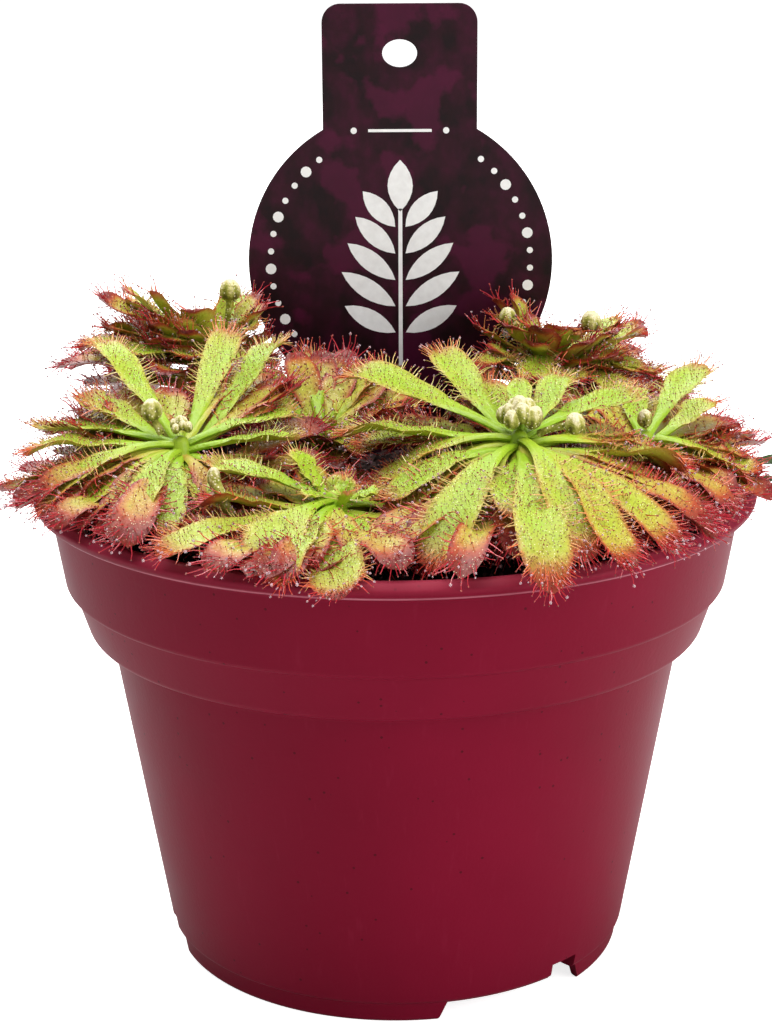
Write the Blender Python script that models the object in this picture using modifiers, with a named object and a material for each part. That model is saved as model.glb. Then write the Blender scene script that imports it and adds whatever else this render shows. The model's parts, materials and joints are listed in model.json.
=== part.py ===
"""Potted sundew: eight rosettes of sticky spoon-shaped leaves in a 12 cm plastic nursery pot.

The pot stands on three low feet at z = 0, its axis is the Z axis, and the front of the
plant looks along -Y. Lengths are in metres. MM turns the millimetres that the plants and
the pot are measured in into metres.
"""

import math

import bmesh
import bpy
from mathutils import Matrix, Vector

MM = 0.001

# Pot, turned: heights are above the ground
POT_HEIGHT = 81.0 * MM
LIP_INNER = (55.7 * MM, 77.2 * MM)
WALL = 1.4 * MM
STEP_WALL = 1.0 * MM
FLOOR_UNDERSIDE = 3.6 * MM
FLOOR_THICKNESS = 1.5 * MM
FOOT_RADIUS = 38.3 * MM
FOOT_WALL = 1.8 * MM
FOOT_CHAMFER = 0.4 * MM
POT_SEGMENTS = 40

# Feet and drain holes: angles are to the right of the front, seen from above
FOOT_GAPS = 3
FIRST_GAP_ANGLE = 31.0
GAP_WIDTH = 25.0 * MM
GAP_SLANT = 2.0 * MM
GAP_BLOCK_DEPTH = 14.0 * MM
DRAIN_ANGLE = 44.0
DRAIN_WIDTH = 5.5 * MM
DRAIN_LENGTH = 12.0 * MM
DRAIN_BLOCK_HEIGHT = 5.5 * MM
DRAIN_OVERHANG = 1.4 * MM

# Soil and the plain holes in it
GAP = 0.3 * MM
SOIL_DEPTH = 4.5 * MM
SOIL_SEGMENTS = 20
SOIL_RING_STEP = 10.5 * MM
SOIL_RINGS = 4
SOIL_EDGE = 49.5 * MM
WALL_CLEARANCE = 1.3 * GAP
MOUND_HEIGHT = 7.0 * MM
MOUND_WIDTH = 10.0 * MM
HOLE_DEPTH = 9.0 * MM
HOLE_OVERCUT = 8.0 * MM
SLOT_OVERCUT = 20.0 * MM

# Plant tag
TAG_Y = 30.0 * MM
TAG_X = 1.2 * MM
TAG_THICKNESS = 0.8 * MM
TAG_TOP = 75.1 * MM
DISC_RADIUS = 26.7 * MM
DISC_HEIGHT = 30.6 * MM
TAB_WIDTH = 26.7 * MM
TAB_CORNER = 3.2 * MM
STAKE_TOP_WIDTH = 16.0 * MM
STAKE_WIDTH = 9.0 * MM
STAKE_DEPTH = 38.0 * MM
HANG_HOLE = (6.0 * MM, 4.7 * MM)
HANG_HOLE_DROP = 8.4 * MM

# Leaves
BLADE = 0.7 * MM
PETIOLE = 1.6 * MM
ROOT_RADIUS = 1.2 * MM
ROOT_DROP = 1.4 * MM
WHORL = 4
WHORL_STEP = 0.95 * MM
FRINGE = 2.7 * MM
LEAF_ROWS = (0.0, 0.22, 0.42, 0.58, 0.72, 0.85, 0.95)
FIRST_FRINGE_ROW = 3
STEM_RADIUS = 2.2 * MM
STEM_FOOT_RADIUS = 3.4 * MM
STEM_SIDES = 8

# Each rosette: its crown as x, y and height above the lip, then its leaves, each as azimuth
# in degrees from +X, reach, height of the tip above the lip and width, in millimetres
ROSETTES = {
    "rosette_right": (
        (19.0, -31.0, 15.5),
        (
            (87, 11, 21, 4.0),
            (60, 17, 20, 5.0),
            (121, 25, 23, 6.0),
            (140, 33, 19.5, 7.0),
            (165, 28, 12.5, 7.0),
            (-157, 22, 6.5, 8.0),
            (-97, 20, 7, 7.5),
            (-73, 26, 1.5, 7.0),
            (-57, 30, 1, 6.5),
            (-42, 30, 1.5, 6.0),
            (5, 26, 7.5, 8.0),
            (42, 25, 17.5, 6.5),
            (-118, 22, 1, 9.0),
            (-88, 31, -1, 8.0),
            (-139, 23, 2, 7.5),
            (178, 24, 4.5, 7.5),
            (17, 26, 5, 7.0),
            (152, 28, 10, 7.0),
            (105, 23, 12, 7.0),
            (75, 21, 12, 7.0),
        ),
    ),
    "rosette_left": (
        (-33.5, -22.0, 12.5),
        (
            (155, 27, 11.5, 6.5),
            (170, 25, 8.5, 6.5),
            (-178, 19, 6.5, 6.0),
            (174, 30, 2.5, 6.0),
            (-166, 23, 1.5, 6.0),
            (-108, 20, 2, 6.5),
            (-90, 21, 2.5, 6.0),
            (-70, 17, 3.5, 5.5),
            (122, 27, 22.5, 5.5),
            (145, 22, 16, 6.0),
            (75, 26, 24, 5.5),
            (52, 26, 22.5, 5.5),
            (25, 19, 15, 5.5),
            (-5, 19, 12.5, 5.5),
            (-30, 11, 6, 4.5),
            (100, 21, 13, 6.0),
        ),
    ),
    "rosette_front": (
        (-9.0, -38.0, 8.0),
        (
            (165, 20, 11, 7.0),
            (135, 9, 12.5, 4.5),
            (-150, 29, 1.5, 6.5),
            (-86, 27, -0.5, 8.0),
            (-125, 21, 1, 9.0),
            (-106, 25, 0.5, 5.0),
            (-66, 16, 2.5, 5.0),
        ),
    ),
    "rosette_edge": (
        (40.0, -14.0, 11.0),
        (
            (60, 22, 17.5, 6.5),
            (22, 13, 14, 6.0),
            (31, 21, 6.8, 6.0),
            (-11, 19, 5, 6.0),
            (-22, 17, 3, 6.0),
            (95, 17, 14, 6.0),
            (57, 26, 3, 6.0),
        ),
    ),
    "rosette_back_right": (
        (27.0, 23.0, 17.0),
        (
            (-105, 15, 14, 6.5),
            (-143, 16, 15, 6.5),
            (-72, 14, 13, 6.5),
            (-38, 18, 11, 6.5),
            (-8, 20, 11, 6.5),
            (20, 26, 5, 6.5),
            (45, 27, 5, 6.5),
            (75, 29, 4, 6.5),
            (97, 22, 8, 6.5),
        ),
    ),
    "rosette_back_left": (
        (-32.0, 22.0, 19.0),
        (
            (165, 21, 25, 6.5),
            (-168, 23, 18, 7.0),
            (-138, 18, 19, 7.0),
            (-103, 14, 18, 7.0),
            (-68, 14, 15, 6.5),
            (-25, 13, 15, 6.0),
            (85, 24, 11, 7.0),
            (110, 30, 6, 7.0),
            (135, 27, 7, 7.0),
            (160, 27, 12, 6.5),
        ),
    ),
    "rosette_back": (
        (2.0, 45.0, 6.0),
        (
            (60, 13, 10, 5.0),
            (-170, 14, 9, 5.5),
            (10, 15, 8, 5.5),
            (125, 17, 6, 6.0),
            (88, 18, 1.5, 6.5),
            (40, 18, 3, 6.0),
            (160, 19, 3, 6.0),
            (-30, 12, 3, 5.0),
            (-150, 13, 3, 5.0),
        ),
    ),
    "rosette_middle": (
        (-12.0, -2.0, 10.0),
        (
            (100, 16, 18, 6.0),
            (60, 17, 15, 6.0),
            (140, 14, 16, 6.0),
            (-118, 13, 7, 6.0),
            (-62, 12, 6, 6.0),
            (20, 17, 11, 6.0),
            (-178, 11, 8, 5.0),
        ),
    ),
}
# The small weed at the pot's right edge, in the same terms
WEED = ((47.5, -9.5, 3.0), ((7, 17.5, 4.2, 5.0), (38, 8, 3.6, 3.5)))

# Flower-bud clusters on a crown: the rosette, the number of side buds and a bud's radius
BUD_CLUSTERS = {
    "buds_right": ("rosette_right", 5, 1.75),
    "buds_left": ("rosette_left", 3, 1.05),
    "buds_edge": ("rosette_edge", 0, 1.2),
}

# Single buds on short stalks: the stalk's points as x, y and height above the lip, from
# beside the stem to the bud's centre, then the bud's radius, in millimetres
SCAPES = {
    "scape_right": (((21.9, -31.5, 14.9), (24.0, -32.6, 16.2), (27.2, -34.0, 16.9)), 1.7),
    "scape_left": (((-36.5, -21.8, 12.6), (-37.4, -21.5, 14.0), (-38.0, -21.0, 16.2)), 1.8),
    "scape_back_right": (((24.1, 22.7, 17.0), (22.0, 21.6, 19.6), (19.6, 20.0, 22.6)), 1.6),
    "scape_back_edge": (((28.6, 20.7, 16.7), (31.2, 18.2, 19.8), (33.6, 15.2, 22.6)), 1.9),
    "scape_back_left": (((-29.5, 20.1, 19.3), (-28.5, 19.8, 22.9), (-28.2, 19.8, 27.4)), 2.0),
}
STALK_RADIUS = 0.55 * MM
BUD_HEIGHT = 1.15
MIDDLE_BUD_SIZE = 1.1
MIDDLE_BUD_LIFT = 0.45
SIDE_BUD_SPREAD = 1.15


def clear_scene():
    """Remove whatever objects the file opened with."""
    for old in list(bpy.data.objects):
        bpy.data.objects.remove(old)


def new_collection(name):
    """A collection linked to the scene."""
    collection = bpy.data.collections.new(name)
    bpy.context.scene.collection.children.link(collection)
    return collection


def plain_material(name, colour, roughness):
    """A non-metallic Principled BSDF with one colour and roughness."""
    material = bpy.data.materials.new(name)
    material.use_nodes = True
    shader = material.node_tree.nodes["Principled BSDF"]
    shader.inputs["Base Color"].default_value = (*colour, 1.0)
    shader.inputs["Roughness"].default_value = roughness
    shader.inputs["Metallic"].default_value = 0.0
    material.diffuse_color = (*colour, 1.0)
    return material


def add_object(name, mesh, collection, material=None):
    """Link a mesh as a named object, with its material if it has one."""
    made = bpy.data.objects.new(name, mesh)
    collection.objects.link(made)
    if material is not None:
        mesh.materials.clear()
        mesh.materials.append(material)
    return made


def mesh_from(bm, name):
    """Finish a bmesh as a mesh with its faces pointing out."""
    mesh = bpy.data.meshes.new(name)
    bm.to_mesh(mesh)
    bm.free()
    return mesh


def bake_modifiers(made):
    """Replace an object's mesh by the evaluated one and drop its modifiers."""
    bpy.context.view_layer.update()
    depsgraph = bpy.context.evaluated_depsgraph_get()
    mesh = bpy.data.meshes.new_from_object(made.evaluated_get(depsgraph))
    made.modifiers.clear()
    made.data = mesh


def fuse_collection(made, pieces):
    """Join every object of a collection to one object, then remove them."""
    union = made.modifiers.new("fuse", "BOOLEAN")
    union.operation = "UNION"
    union.operand_type = "COLLECTION"
    union.collection = pieces
    union.solver = "EXACT"
    bake_modifiers(made)
    for piece in list(pieces.objects):
        bpy.data.objects.remove(piece)
    bpy.data.collections.remove(pieces)


def cut_with(made, cutters):
    """Cut an object with every cutter of a collection, one Boolean each."""
    for cutter in cutters:
        cutter.hide_render = True
        cutter.display_type = "WIRE"
        cut = made.modifiers.new(cutter.name, "BOOLEAN")
        cut.operation = "DIFFERENCE"
        cut.object = cutter
        cut.solver = "EXACT"


def turn(name, profile, segments, collection, material):
    """Turn a profile of (radius, height) points about Z. It runs down the outer side."""
    bm = bmesh.new()
    points = [bm.verts.new((radius, 0, height)) for radius, height in profile]
    for lower, upper in zip(points, points[1:]):
        bm.edges.new((lower, upper))
    made = add_object(name, mesh_from(bm, name), collection, material)
    screw = made.modifiers.new("turn", "SCREW")
    screw.steps = segments
    screw.render_steps = segments
    screw.use_merge_vertices = True
    screw.merge_threshold = 0.00005
    return made


def millimetres(points):
    """Points given in millimetres, as metres."""
    return [(radius * MM, height * MM) for radius, height in points]


def pot_outside():
    """The outer wall from the lip's inner edge to the ridge above the feet."""
    lip = [(56.9, 80.2), (57.6, 81.0), (58.8, 81.0), (60.0, 79.9), (59.8, 79.0), (58.9, 78.3)]
    collar = [(57.2, 77.7), (55.2, 65.3)]
    first_step = [(54.7, 64.8), (54.0, 64.6)]
    second_band = [(51.7, 57.5)]
    second_step = [(51.2, 56.9), (48.2, 56.0), (47.9, 55.2)]
    ridge = [(39.3, 3.9), (38.6, 3.4)]
    return millimetres(lip + collar + first_step + second_band + second_step + ridge)


def pot_inside():
    """The inner wall from the floor up to the lip, a wall's thickness inside the outer one."""
    outside = pot_outside()
    wall = [(radius - WALL, height + STEP_WALL) for radius, height in reversed(outside[7:-2])]
    floor_top = FLOOR_UNDERSIDE + FLOOR_THICKNESS
    corner = [(0.0, floor_top), (38.0 * MM, floor_top)]
    return corner + wall + [LIP_INNER]


def pot_cutters(collection):
    """Blocks for the gaps between the feet and for the drain holes beside them."""
    cutters = []
    for number in range(FOOT_GAPS):
        turn_by = math.radians(360.0 / FOOT_GAPS * number)
        gap_angle = math.radians(FIRST_GAP_ANGLE) + turn_by
        bm = bmesh.new()
        bmesh.ops.create_cube(bm, size=1.0)
        for vert in bm.verts:
            slant = GAP_SLANT if vert.co.z < 0 else 0.0
            across = math.copysign(GAP_WIDTH / 2 + slant, vert.co.x)
            along = -FOOT_RADIUS + vert.co.y * GAP_BLOCK_DEPTH
            height = FLOOR_UNDERSIDE - GAP if vert.co.z > 0 else -GAP_SLANT
            vert.co = (across, along, height)
        bm.transform(Matrix.Rotation(gap_angle, 4, "Z"))
        cutters.append(add_object(f"foot_gap_{number}", mesh_from(bm, "foot_gap"), collection))

        drain_angle = math.radians(DRAIN_ANGLE) + turn_by
        bm = bmesh.new()
        bmesh.ops.create_cube(bm, size=1.0)
        size = (DRAIN_WIDTH, DRAIN_LENGTH, DRAIN_BLOCK_HEIGHT)
        bmesh.ops.scale(bm, vec=size, verts=bm.verts)
        out = FOOT_RADIUS + DRAIN_OVERHANG - DRAIN_LENGTH / 2
        middle = (0, -out, FLOOR_UNDERSIDE - FOOT_CHAMFER)
        bmesh.ops.translate(bm, vec=middle, verts=bm.verts)
        bm.transform(Matrix.Rotation(drain_angle, 4, "Z"))
        cutters.append(add_object(f"drain_{number}", mesh_from(bm, "drain"), collection))
    return cutters


def make_pot(collection, cutter_collection, material):
    """The thin-walled pot with a rolled lip, two steps, three feet and drain holes."""
    foot = [
        (FOOT_RADIUS, 0.5 * MM),
        (FOOT_RADIUS - FOOT_CHAMFER, 0.0),
        (FOOT_RADIUS - FOOT_WALL, 0.0),
        (FOOT_RADIUS - FOOT_WALL, FLOOR_UNDERSIDE),
        (0.0, FLOOR_UNDERSIDE),
    ]
    profile = pot_outside() + foot + pot_inside()
    profile.append(profile[0])
    pot = turn("pot", profile, POT_SEGMENTS, collection, material)
    cut_with(pot, pot_cutters(cutter_collection))
    return pot


def soil_height(x, y):
    """Height of the soil: a flat bed with a low mound under each crown."""
    height = POT_HEIGHT - SOIL_DEPTH
    for crown, _ in ROSETTES.values():
        distance = math.hypot(x - crown[0] * MM, y - crown[1] * MM)
        height += MOUND_HEIGHT * math.exp(-((distance / MOUND_WIDTH) ** 2))
    return height


def make_soil(collection, cutter_collection, material):
    """The peat that fills the pot, with a plain hole for each stem and for the tag."""
    bed = POT_HEIGHT - SOIL_DEPTH
    inside = [(radius - WALL_CLEARANCE, height + GAP) for radius, height in pot_inside()]
    last, beyond = inside[-2], inside[-1]
    share = (bed - last[1]) / (beyond[1] - last[1])
    inside[-1] = (last[0] + (beyond[0] - last[0]) * share, bed)
    top = [(0.0, bed)] + [(ring * SOIL_RING_STEP, bed) for ring in range(1, SOIL_RINGS + 1)]
    top.append((SOIL_EDGE, bed))
    floor = [(0.0, inside[0][1]), (inside[1][0] - GAP, inside[1][1])]
    side = list(reversed(inside[2:]))
    profile = top + side + list(reversed(floor))
    soil = turn("soil", profile, SOIL_SEGMENTS, collection, material)
    bake_modifiers(soil)
    for vert in soil.data.vertices:
        inner = math.hypot(vert.co.x, vert.co.y) < SOIL_EDGE + GAP
        if inner and abs(vert.co.z - bed) < GAP:
            vert.co.z = soil_height(vert.co.x, vert.co.y)
    cut_with(soil, soil_cutters(cutter_collection))
    return soil


def stem_hole_bottom(crown):
    """Height of the foot of a stem's hole."""
    return soil_height(crown[0] * MM, crown[1] * MM) - HOLE_DEPTH


def soil_cutters(collection):
    """A plug for each stem and a slot for the tag's stake."""
    cutters = []
    depth = HOLE_DEPTH + HOLE_OVERCUT
    for name, (crown, _) in {**ROSETTES, "weed_sprig": WEED}.items():
        plug = cone(STEM_FOOT_RADIUS + GAP, STEM_FOOT_RADIUS + GAP, depth, STEM_SIDES)
        centre = stem_hole_bottom(crown) + depth / 2
        plug.transform(Matrix.Translation((crown[0] * MM, crown[1] * MM, centre)))
        cutters.append(add_object(f"hole_{name}", mesh_from(plug, "hole"), collection))
    slot = bmesh.new()
    bmesh.ops.create_cube(slot, size=1.0)
    depth = STAKE_DEPTH + SLOT_OVERCUT
    slot_width = STAKE_TOP_WIDTH + 2 * GAP
    bmesh.ops.scale(slot, vec=(slot_width, TAG_THICKNESS + 2 * GAP, depth), verts=slot.verts)
    centre = POT_HEIGHT - STAKE_DEPTH - GAP + depth / 2
    slot.transform(Matrix.Translation((TAG_X, TAG_Y, centre)))
    cutters.append(add_object("hole_tag", mesh_from(slot, "hole"), collection))
    return cutters


def cone(radius_low, radius_high, depth, segments):
    """A capped cone or cylinder on the Z axis, centred."""
    bm = bmesh.new()
    bmesh.ops.create_cone(
        bm,
        cap_ends=True,
        segments=segments,
        radius1=radius_low,
        radius2=radius_high,
        depth=depth,
    )
    return bm


def arc(centre, radius, start, end, steps):
    """Points along an arc, angles in degrees, both ends included."""
    points = []
    for step in range(steps + 1):
        angle = math.radians(start + (end - start) * step / steps)
        points.append((centre[0] + radius * math.cos(angle), centre[1] + radius * math.sin(angle)))
    return points


def tag_outline():
    """The keyhole outline, anticlockwise from the foot of the stake, in x and height."""
    half_tab = TAB_WIDTH / 2
    half_stake = STAKE_TOP_WIDTH / 2
    join = math.degrees(math.acos(half_tab / DISC_RADIUS))
    foot = math.degrees(math.acos(half_stake / DISC_RADIUS))
    corner_height = TAG_TOP - TAB_CORNER
    corner_x = half_tab - TAB_CORNER
    right = [(STAKE_WIDTH / 2 * 0.25, -STAKE_DEPTH + GAP), (STAKE_WIDTH / 2, -STAKE_DEPTH + 9 * MM)]
    right += arc((0, DISC_HEIGHT), DISC_RADIUS, -foot, join, 16)
    right += arc((corner_x, corner_height), TAB_CORNER, 0, 90, 4)
    return right + [(-x, height) for x, height in reversed(right)]


def flat_curve(name, outlines, thickness):
    """A filled 2D curve of one outline and its holes, as thick as the card."""
    curve = bpy.data.curves.new(name, "CURVE")
    curve.dimensions = "2D"
    curve.fill_mode = "BOTH"
    curve.extrude = thickness / 2
    for outline in outlines:
        spline = curve.splines.new("POLY")
        spline.points.add(len(outline) - 1)
        for point, (x, y) in zip(spline.points, outline):
            point.co = (x, y, 0.0, 1.0)
        spline.use_cyclic_u = True
    return curve


def mesh_of_curve(name, curve, matrix, collection, material):
    """A curve made into a closed mesh object in its place."""
    guide = bpy.data.objects.new(name + "_guide", curve)
    guide.matrix_world = matrix
    collection.objects.link(guide)
    bpy.context.view_layer.update()
    depsgraph = bpy.context.evaluated_depsgraph_get()
    mesh = bpy.data.meshes.new_from_object(guide.evaluated_get(depsgraph))
    bm = bmesh.new()
    bm.from_mesh(mesh)
    bmesh.ops.remove_doubles(bm, verts=bm.verts, dist=0.02 * MM)
    bm.to_mesh(mesh)
    bm.free()
    bpy.data.objects.remove(guide)
    made = add_object(name, mesh, collection, material)
    made.matrix_world = matrix
    return made


def make_tag(collection, material):
    """The upright plastic tag: a round head with a tab, a hang hole and a stake."""
    hole_centre = TAG_TOP - HANG_HOLE_DROP
    half_wide, half_high = HANG_HOLE[0] / 2, HANG_HOLE[1] / 2
    circle = arc((0, 0), 1, 0, 337.5, 15)
    hole = [(x * half_wide, hole_centre + y * half_high) for x, y in circle]
    curve = flat_curve("tag", [tag_outline(), hole], TAG_THICKNESS)
    place = Matrix.Translation((TAG_X, TAG_Y, POT_HEIGHT))
    upright = Matrix.Rotation(math.radians(90), 4, "X")
    return mesh_of_curve("tag", curve, place @ upright, collection, material)


def smooth(value):
    """Ease from 0 to 1."""
    value = min(max(value, 0.0), 1.0)
    return value * value * (3 - 2 * value)


def half_width(along, width):
    """Half the blade's width at a share of its length: a petiole, a spoon and a round tip."""
    half = PETIOLE / 2 + (width - PETIOLE) / 2 * smooth((along - 0.1) / 0.62)
    if along > 0.76:
        half *= math.sqrt(1 - ((along - 0.76) / 0.24) ** 2)
    return half


def spine_point(along, reach, root_height, tip_height, bend):
    """A point of the arched midrib, in the leaf's own frame: out, sideways and up."""
    control = root_height + 0.5 * max(tip_height - root_height, 0.0) + 0.07 * reach
    rest = 1 - along
    out = ROOT_RADIUS * rest * rest + along * rest * (reach + ROOT_RADIUS) + reach * along * along
    up = root_height * rest * rest + 2 * control * along * rest + tip_height * along * along
    return Vector((out, bend * reach * along * along, up))


def leaf_mesh(name, reach, root_height, tip_height, width, roll, bend):
    """An open blade with a fringe of pointed teeth, which Solidify gives its thickness."""
    bm = bmesh.new()
    left, right = [], []
    step = 0.02
    for along in LEAF_ROWS:
        centre = spine_point(along, reach, root_height, tip_height, bend)
        ahead = spine_point(along + step, reach, root_height, tip_height, bend)
        tangent = (ahead - centre).normalized()
        level = tangent.cross(Vector((0, 0, 1))).normalized()
        side = Matrix.Rotation(roll * along, 3, tangent) @ level
        half = half_width(along, width)
        left.append(bm.verts.new(centre - side * half))
        right.append(bm.verts.new(centre + side * half))
    tip = bm.verts.new(spine_point(1.0, reach, root_height, tip_height, bend))
    for row in range(len(LEAF_ROWS) - 1):
        bm.faces.new((left[row], right[row], right[row + 1], left[row + 1]))
    bm.faces.new((left[-1], right[-1], tip))
    margins = [(left[row + 1], left[row]) for row in range(FIRST_FRINGE_ROW, len(LEAF_ROWS) - 1)]
    margins += [(right[row], right[row + 1]) for row in range(FIRST_FRINGE_ROW, len(LEAF_ROWS) - 1)]
    margins += [(tip, left[-1]), (right[-1], tip)]
    for first, second in margins:
        edge = second.co - first.co
        normal = (right[-1].co - left[-1].co).cross(tip.co - left[-1].co).normalized()
        outward = edge.cross(normal).normalized()
        forward = (tip.co - left[-2].co).normalized()
        point = (first.co + second.co) / 2 + (outward + 0.25 * forward + 0.15 * normal) * FRINGE
        bm.faces.new((second, first, bm.verts.new(point)))
    bmesh.ops.triangulate(bm, faces=bm.faces)
    return mesh_from(bm, name)


def make_rosette(name, crown, leaves, collection, material):
    """One plant: a stem that stands in its hole in the soil, with its leaves fused to it."""
    crown_height = POT_HEIGHT + crown[2] * MM
    bottom = stem_hole_bottom(crown) + GAP
    stem = cone(STEM_FOOT_RADIUS, STEM_RADIUS, crown_height - bottom, STEM_SIDES)
    place = (crown[0] * MM, crown[1] * MM, (crown_height + bottom) / 2)
    stem.transform(Matrix.Translation(place))
    plant = add_object(name, mesh_from(stem, name), collection, material)
    blades = new_collection(name + "_leaves")
    for number, (azimuth, reach, tip_height, width) in enumerate(leaves):
        root_height = crown_height - ROOT_DROP - WHORL_STEP * (number % WHORL)
        roll = math.radians(14 * math.sin(2.7 * number))
        bend = 0.07 * math.sin(1.9 * number)
        mesh = leaf_mesh(
            f"{name}_leaf_{number}",
            reach * MM,
            root_height,
            POT_HEIGHT + tip_height * MM,
            width * MM,
            roll,
            bend,
        )
        centre = Matrix.Translation((crown[0] * MM, crown[1] * MM, 0))
        mesh.transform(centre @ Matrix.Rotation(math.radians(azimuth), 4, "Z"))
        blade = add_object(mesh.name, mesh, blades)
        thicken = blade.modifiers.new("thickness", "SOLIDIFY")
        thicken.thickness = BLADE
        thicken.offset = 0.0
    fuse_collection(plant, blades)
    return plant


def bud(centre, radius, fineness):
    """One small round bud, slightly taller than wide, as a bmesh."""
    bm = bmesh.new()
    place = Matrix.Translation(centre) @ Matrix.Diagonal((1.0, 1.0, BUD_HEIGHT, 1.0))
    bmesh.ops.create_icosphere(bm, subdivisions=fineness, radius=radius, matrix=place)
    return bm


def make_bud_cluster(name, crown, side_buds, radius, collection, material):
    """Coiled flower buds pressed together on top of a crown, fused in one solid."""
    radius *= MM
    base = POT_HEIGHT + crown[2] * MM + GAP
    lift = BUD_HEIGHT + (MIDDLE_BUD_LIFT if side_buds else MIDDLE_BUD_SIZE - 1)
    middle = Vector((crown[0] * MM, crown[1] * MM, base + radius * lift))
    ball = bud(middle, radius * MIDDLE_BUD_SIZE, 2)
    cluster = add_object(name, mesh_from(ball, name), collection, material)
    if side_buds:
        ring = new_collection(name + "_ring")
        for number in range(side_buds):
            angle = 2 * math.pi * (number + 0.3) / side_buds
            beside = Vector((math.cos(angle), math.sin(angle), 0)) * radius * SIDE_BUD_SPREAD
            centre = Vector((middle.x, middle.y, base + radius * BUD_HEIGHT)) + beside
            mesh = mesh_from(bud(centre, radius, 1), name)
            add_object(f"{name}_bud_{number}", mesh, ring)
        fuse_collection(cluster, ring)
    return cluster


def make_scape(name, points, bud_radius, collection, material):
    """A young flower stalk with one bud, from a bevelled curve and a ball fused to it."""
    curve = bpy.data.curves.new(name, "CURVE")
    curve.dimensions = "3D"
    curve.bevel_depth = STALK_RADIUS
    curve.bevel_resolution = 1
    curve.use_fill_caps = True
    spline = curve.splines.new("POLY")
    spline.points.add(len(points) - 1)
    places = [Vector((x * MM, y * MM, POT_HEIGHT + z * MM)) for x, y, z in points]
    for point, place in zip(spline.points, places):
        point.co = (*place, 1.0)
    stalk = mesh_of_curve(name, curve, Matrix.Identity(4), collection, material)
    heads = new_collection(name + "_head")
    add_object(name + "_bud", mesh_from(bud(places[-1], bud_radius * MM, 2), name), heads)
    fuse_collection(stalk, heads)
    return stalk


def main():
    clear_scene()
    parts = new_collection("potted_sundew")
    cutters = new_collection("cutters")
    plastic = plain_material("pot_plastic", (0.17, 0.012, 0.03), 0.45)
    peat = plain_material("peat", (0.012, 0.009, 0.007), 0.95)
    card = plain_material("tag_plastic", (0.02, 0.004, 0.012), 0.35)
    green = plain_material("leaf_green", (0.28, 0.42, 0.03), 0.4)
    dark_green = plain_material("weed_green", (0.03, 0.06, 0.015), 0.5)
    cream = plain_material("bud_cream", (0.5, 0.52, 0.2), 0.55)
    make_pot(parts, cutters, plastic)
    make_soil(parts, cutters, peat)
    make_tag(parts, card)
    for name, (crown, leaves) in ROSETTES.items():
        make_rosette(name, crown, leaves, parts, green)
    make_rosette("weed_sprig", *WEED, parts, dark_green)
    for name, (plant, side_buds, radius) in BUD_CLUSTERS.items():
        make_bud_cluster(name, ROSETTES[plant][0], side_buds, radius, parts, cream)
    for name, (points, radius) in SCAPES.items():
        make_scape(name, points, radius, parts, cream)


main()
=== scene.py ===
"""Potted sundew, dressed: sticky rosettes in a burgundy nursery pot with a plant tag.

The pot, the tag, the crowns and nearly all the top leaves repeat the sizes and places of the
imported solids. Blender works in metres, and MM turns the millimetres of the real things into them.
"""

import json
import math
import random

import bmesh
import bpy
import numpy as np
from mathutils import Matrix, Vector, noise

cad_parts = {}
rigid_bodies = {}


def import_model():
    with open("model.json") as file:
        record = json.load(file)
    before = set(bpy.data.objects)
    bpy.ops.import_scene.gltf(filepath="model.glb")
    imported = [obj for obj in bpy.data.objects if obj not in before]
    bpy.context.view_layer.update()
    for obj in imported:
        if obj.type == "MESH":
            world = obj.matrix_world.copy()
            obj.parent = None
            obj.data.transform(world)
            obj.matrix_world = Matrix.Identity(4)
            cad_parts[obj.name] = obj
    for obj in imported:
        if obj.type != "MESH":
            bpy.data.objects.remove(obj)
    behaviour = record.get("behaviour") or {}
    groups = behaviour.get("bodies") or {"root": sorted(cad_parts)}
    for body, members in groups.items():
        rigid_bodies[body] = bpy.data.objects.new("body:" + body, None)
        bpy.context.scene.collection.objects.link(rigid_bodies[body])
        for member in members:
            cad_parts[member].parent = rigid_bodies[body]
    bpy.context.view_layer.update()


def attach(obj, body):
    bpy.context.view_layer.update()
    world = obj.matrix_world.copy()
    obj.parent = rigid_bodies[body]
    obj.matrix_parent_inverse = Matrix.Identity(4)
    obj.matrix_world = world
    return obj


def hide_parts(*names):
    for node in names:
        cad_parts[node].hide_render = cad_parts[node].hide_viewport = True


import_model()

# Pot. A thin-walled round nursery pot of burgundy polypropylene, injection moulded in one
# shot. Its lip is rolled, its wall steps in twice so that pots stack, and three low feet with
# a drain opening beside each stand on the ground.
MM = 0.001
POT_HEIGHT = 81.0 * MM
POT_SEGMENTS = 144
POT_WALL = 1.4
STEP_WALL = 1.0
CORNER_CUT = 0.4
CORNER_STEPS = 4
ON_AXIS = 0.01
LIP_INNER = (55.7, 77.2)
POT_LIP = (
    (56.9, 80.2),
    (57.6, 81.0),
    (58.8, 81.0),
    (60.0, 79.9),
    (59.8, 79.0),
    (58.9, 78.3),
    (57.2, 77.7),
)
POT_STEPS = (
    (55.2, 65.3),
    (54.7, 64.8),
    (54.0, 64.6),
    (51.7, 57.5),
    (51.2, 56.9),
    (48.2, 56.0),
    (47.9, 55.2),
)
POT_FOOT = ((39.3, 3.9), (38.6, 3.4), (38.3, 0.5), (37.9, 0.0), (36.5, 0.0), (36.5, 3.6), (0.0, 3.6))
POT_FLOOR = ((0.0, 5.1), (38.0, 5.1))
FEET = 3
FOOT_GAP_SIZE = (25.0, 14.0, 5.3)
FOOT_GAP_SLANT = 2.0
FOOT_GAP_PLACE = (0, -38.3, 0.65)
FOOT_GAP_ANGLE = 31.0
DRAIN_SIZE = (5.5, 12.0, 5.5)
DRAIN_PLACE = (0, -33.7, 3.2)
DRAIN_ANGLE = 44.0


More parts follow.
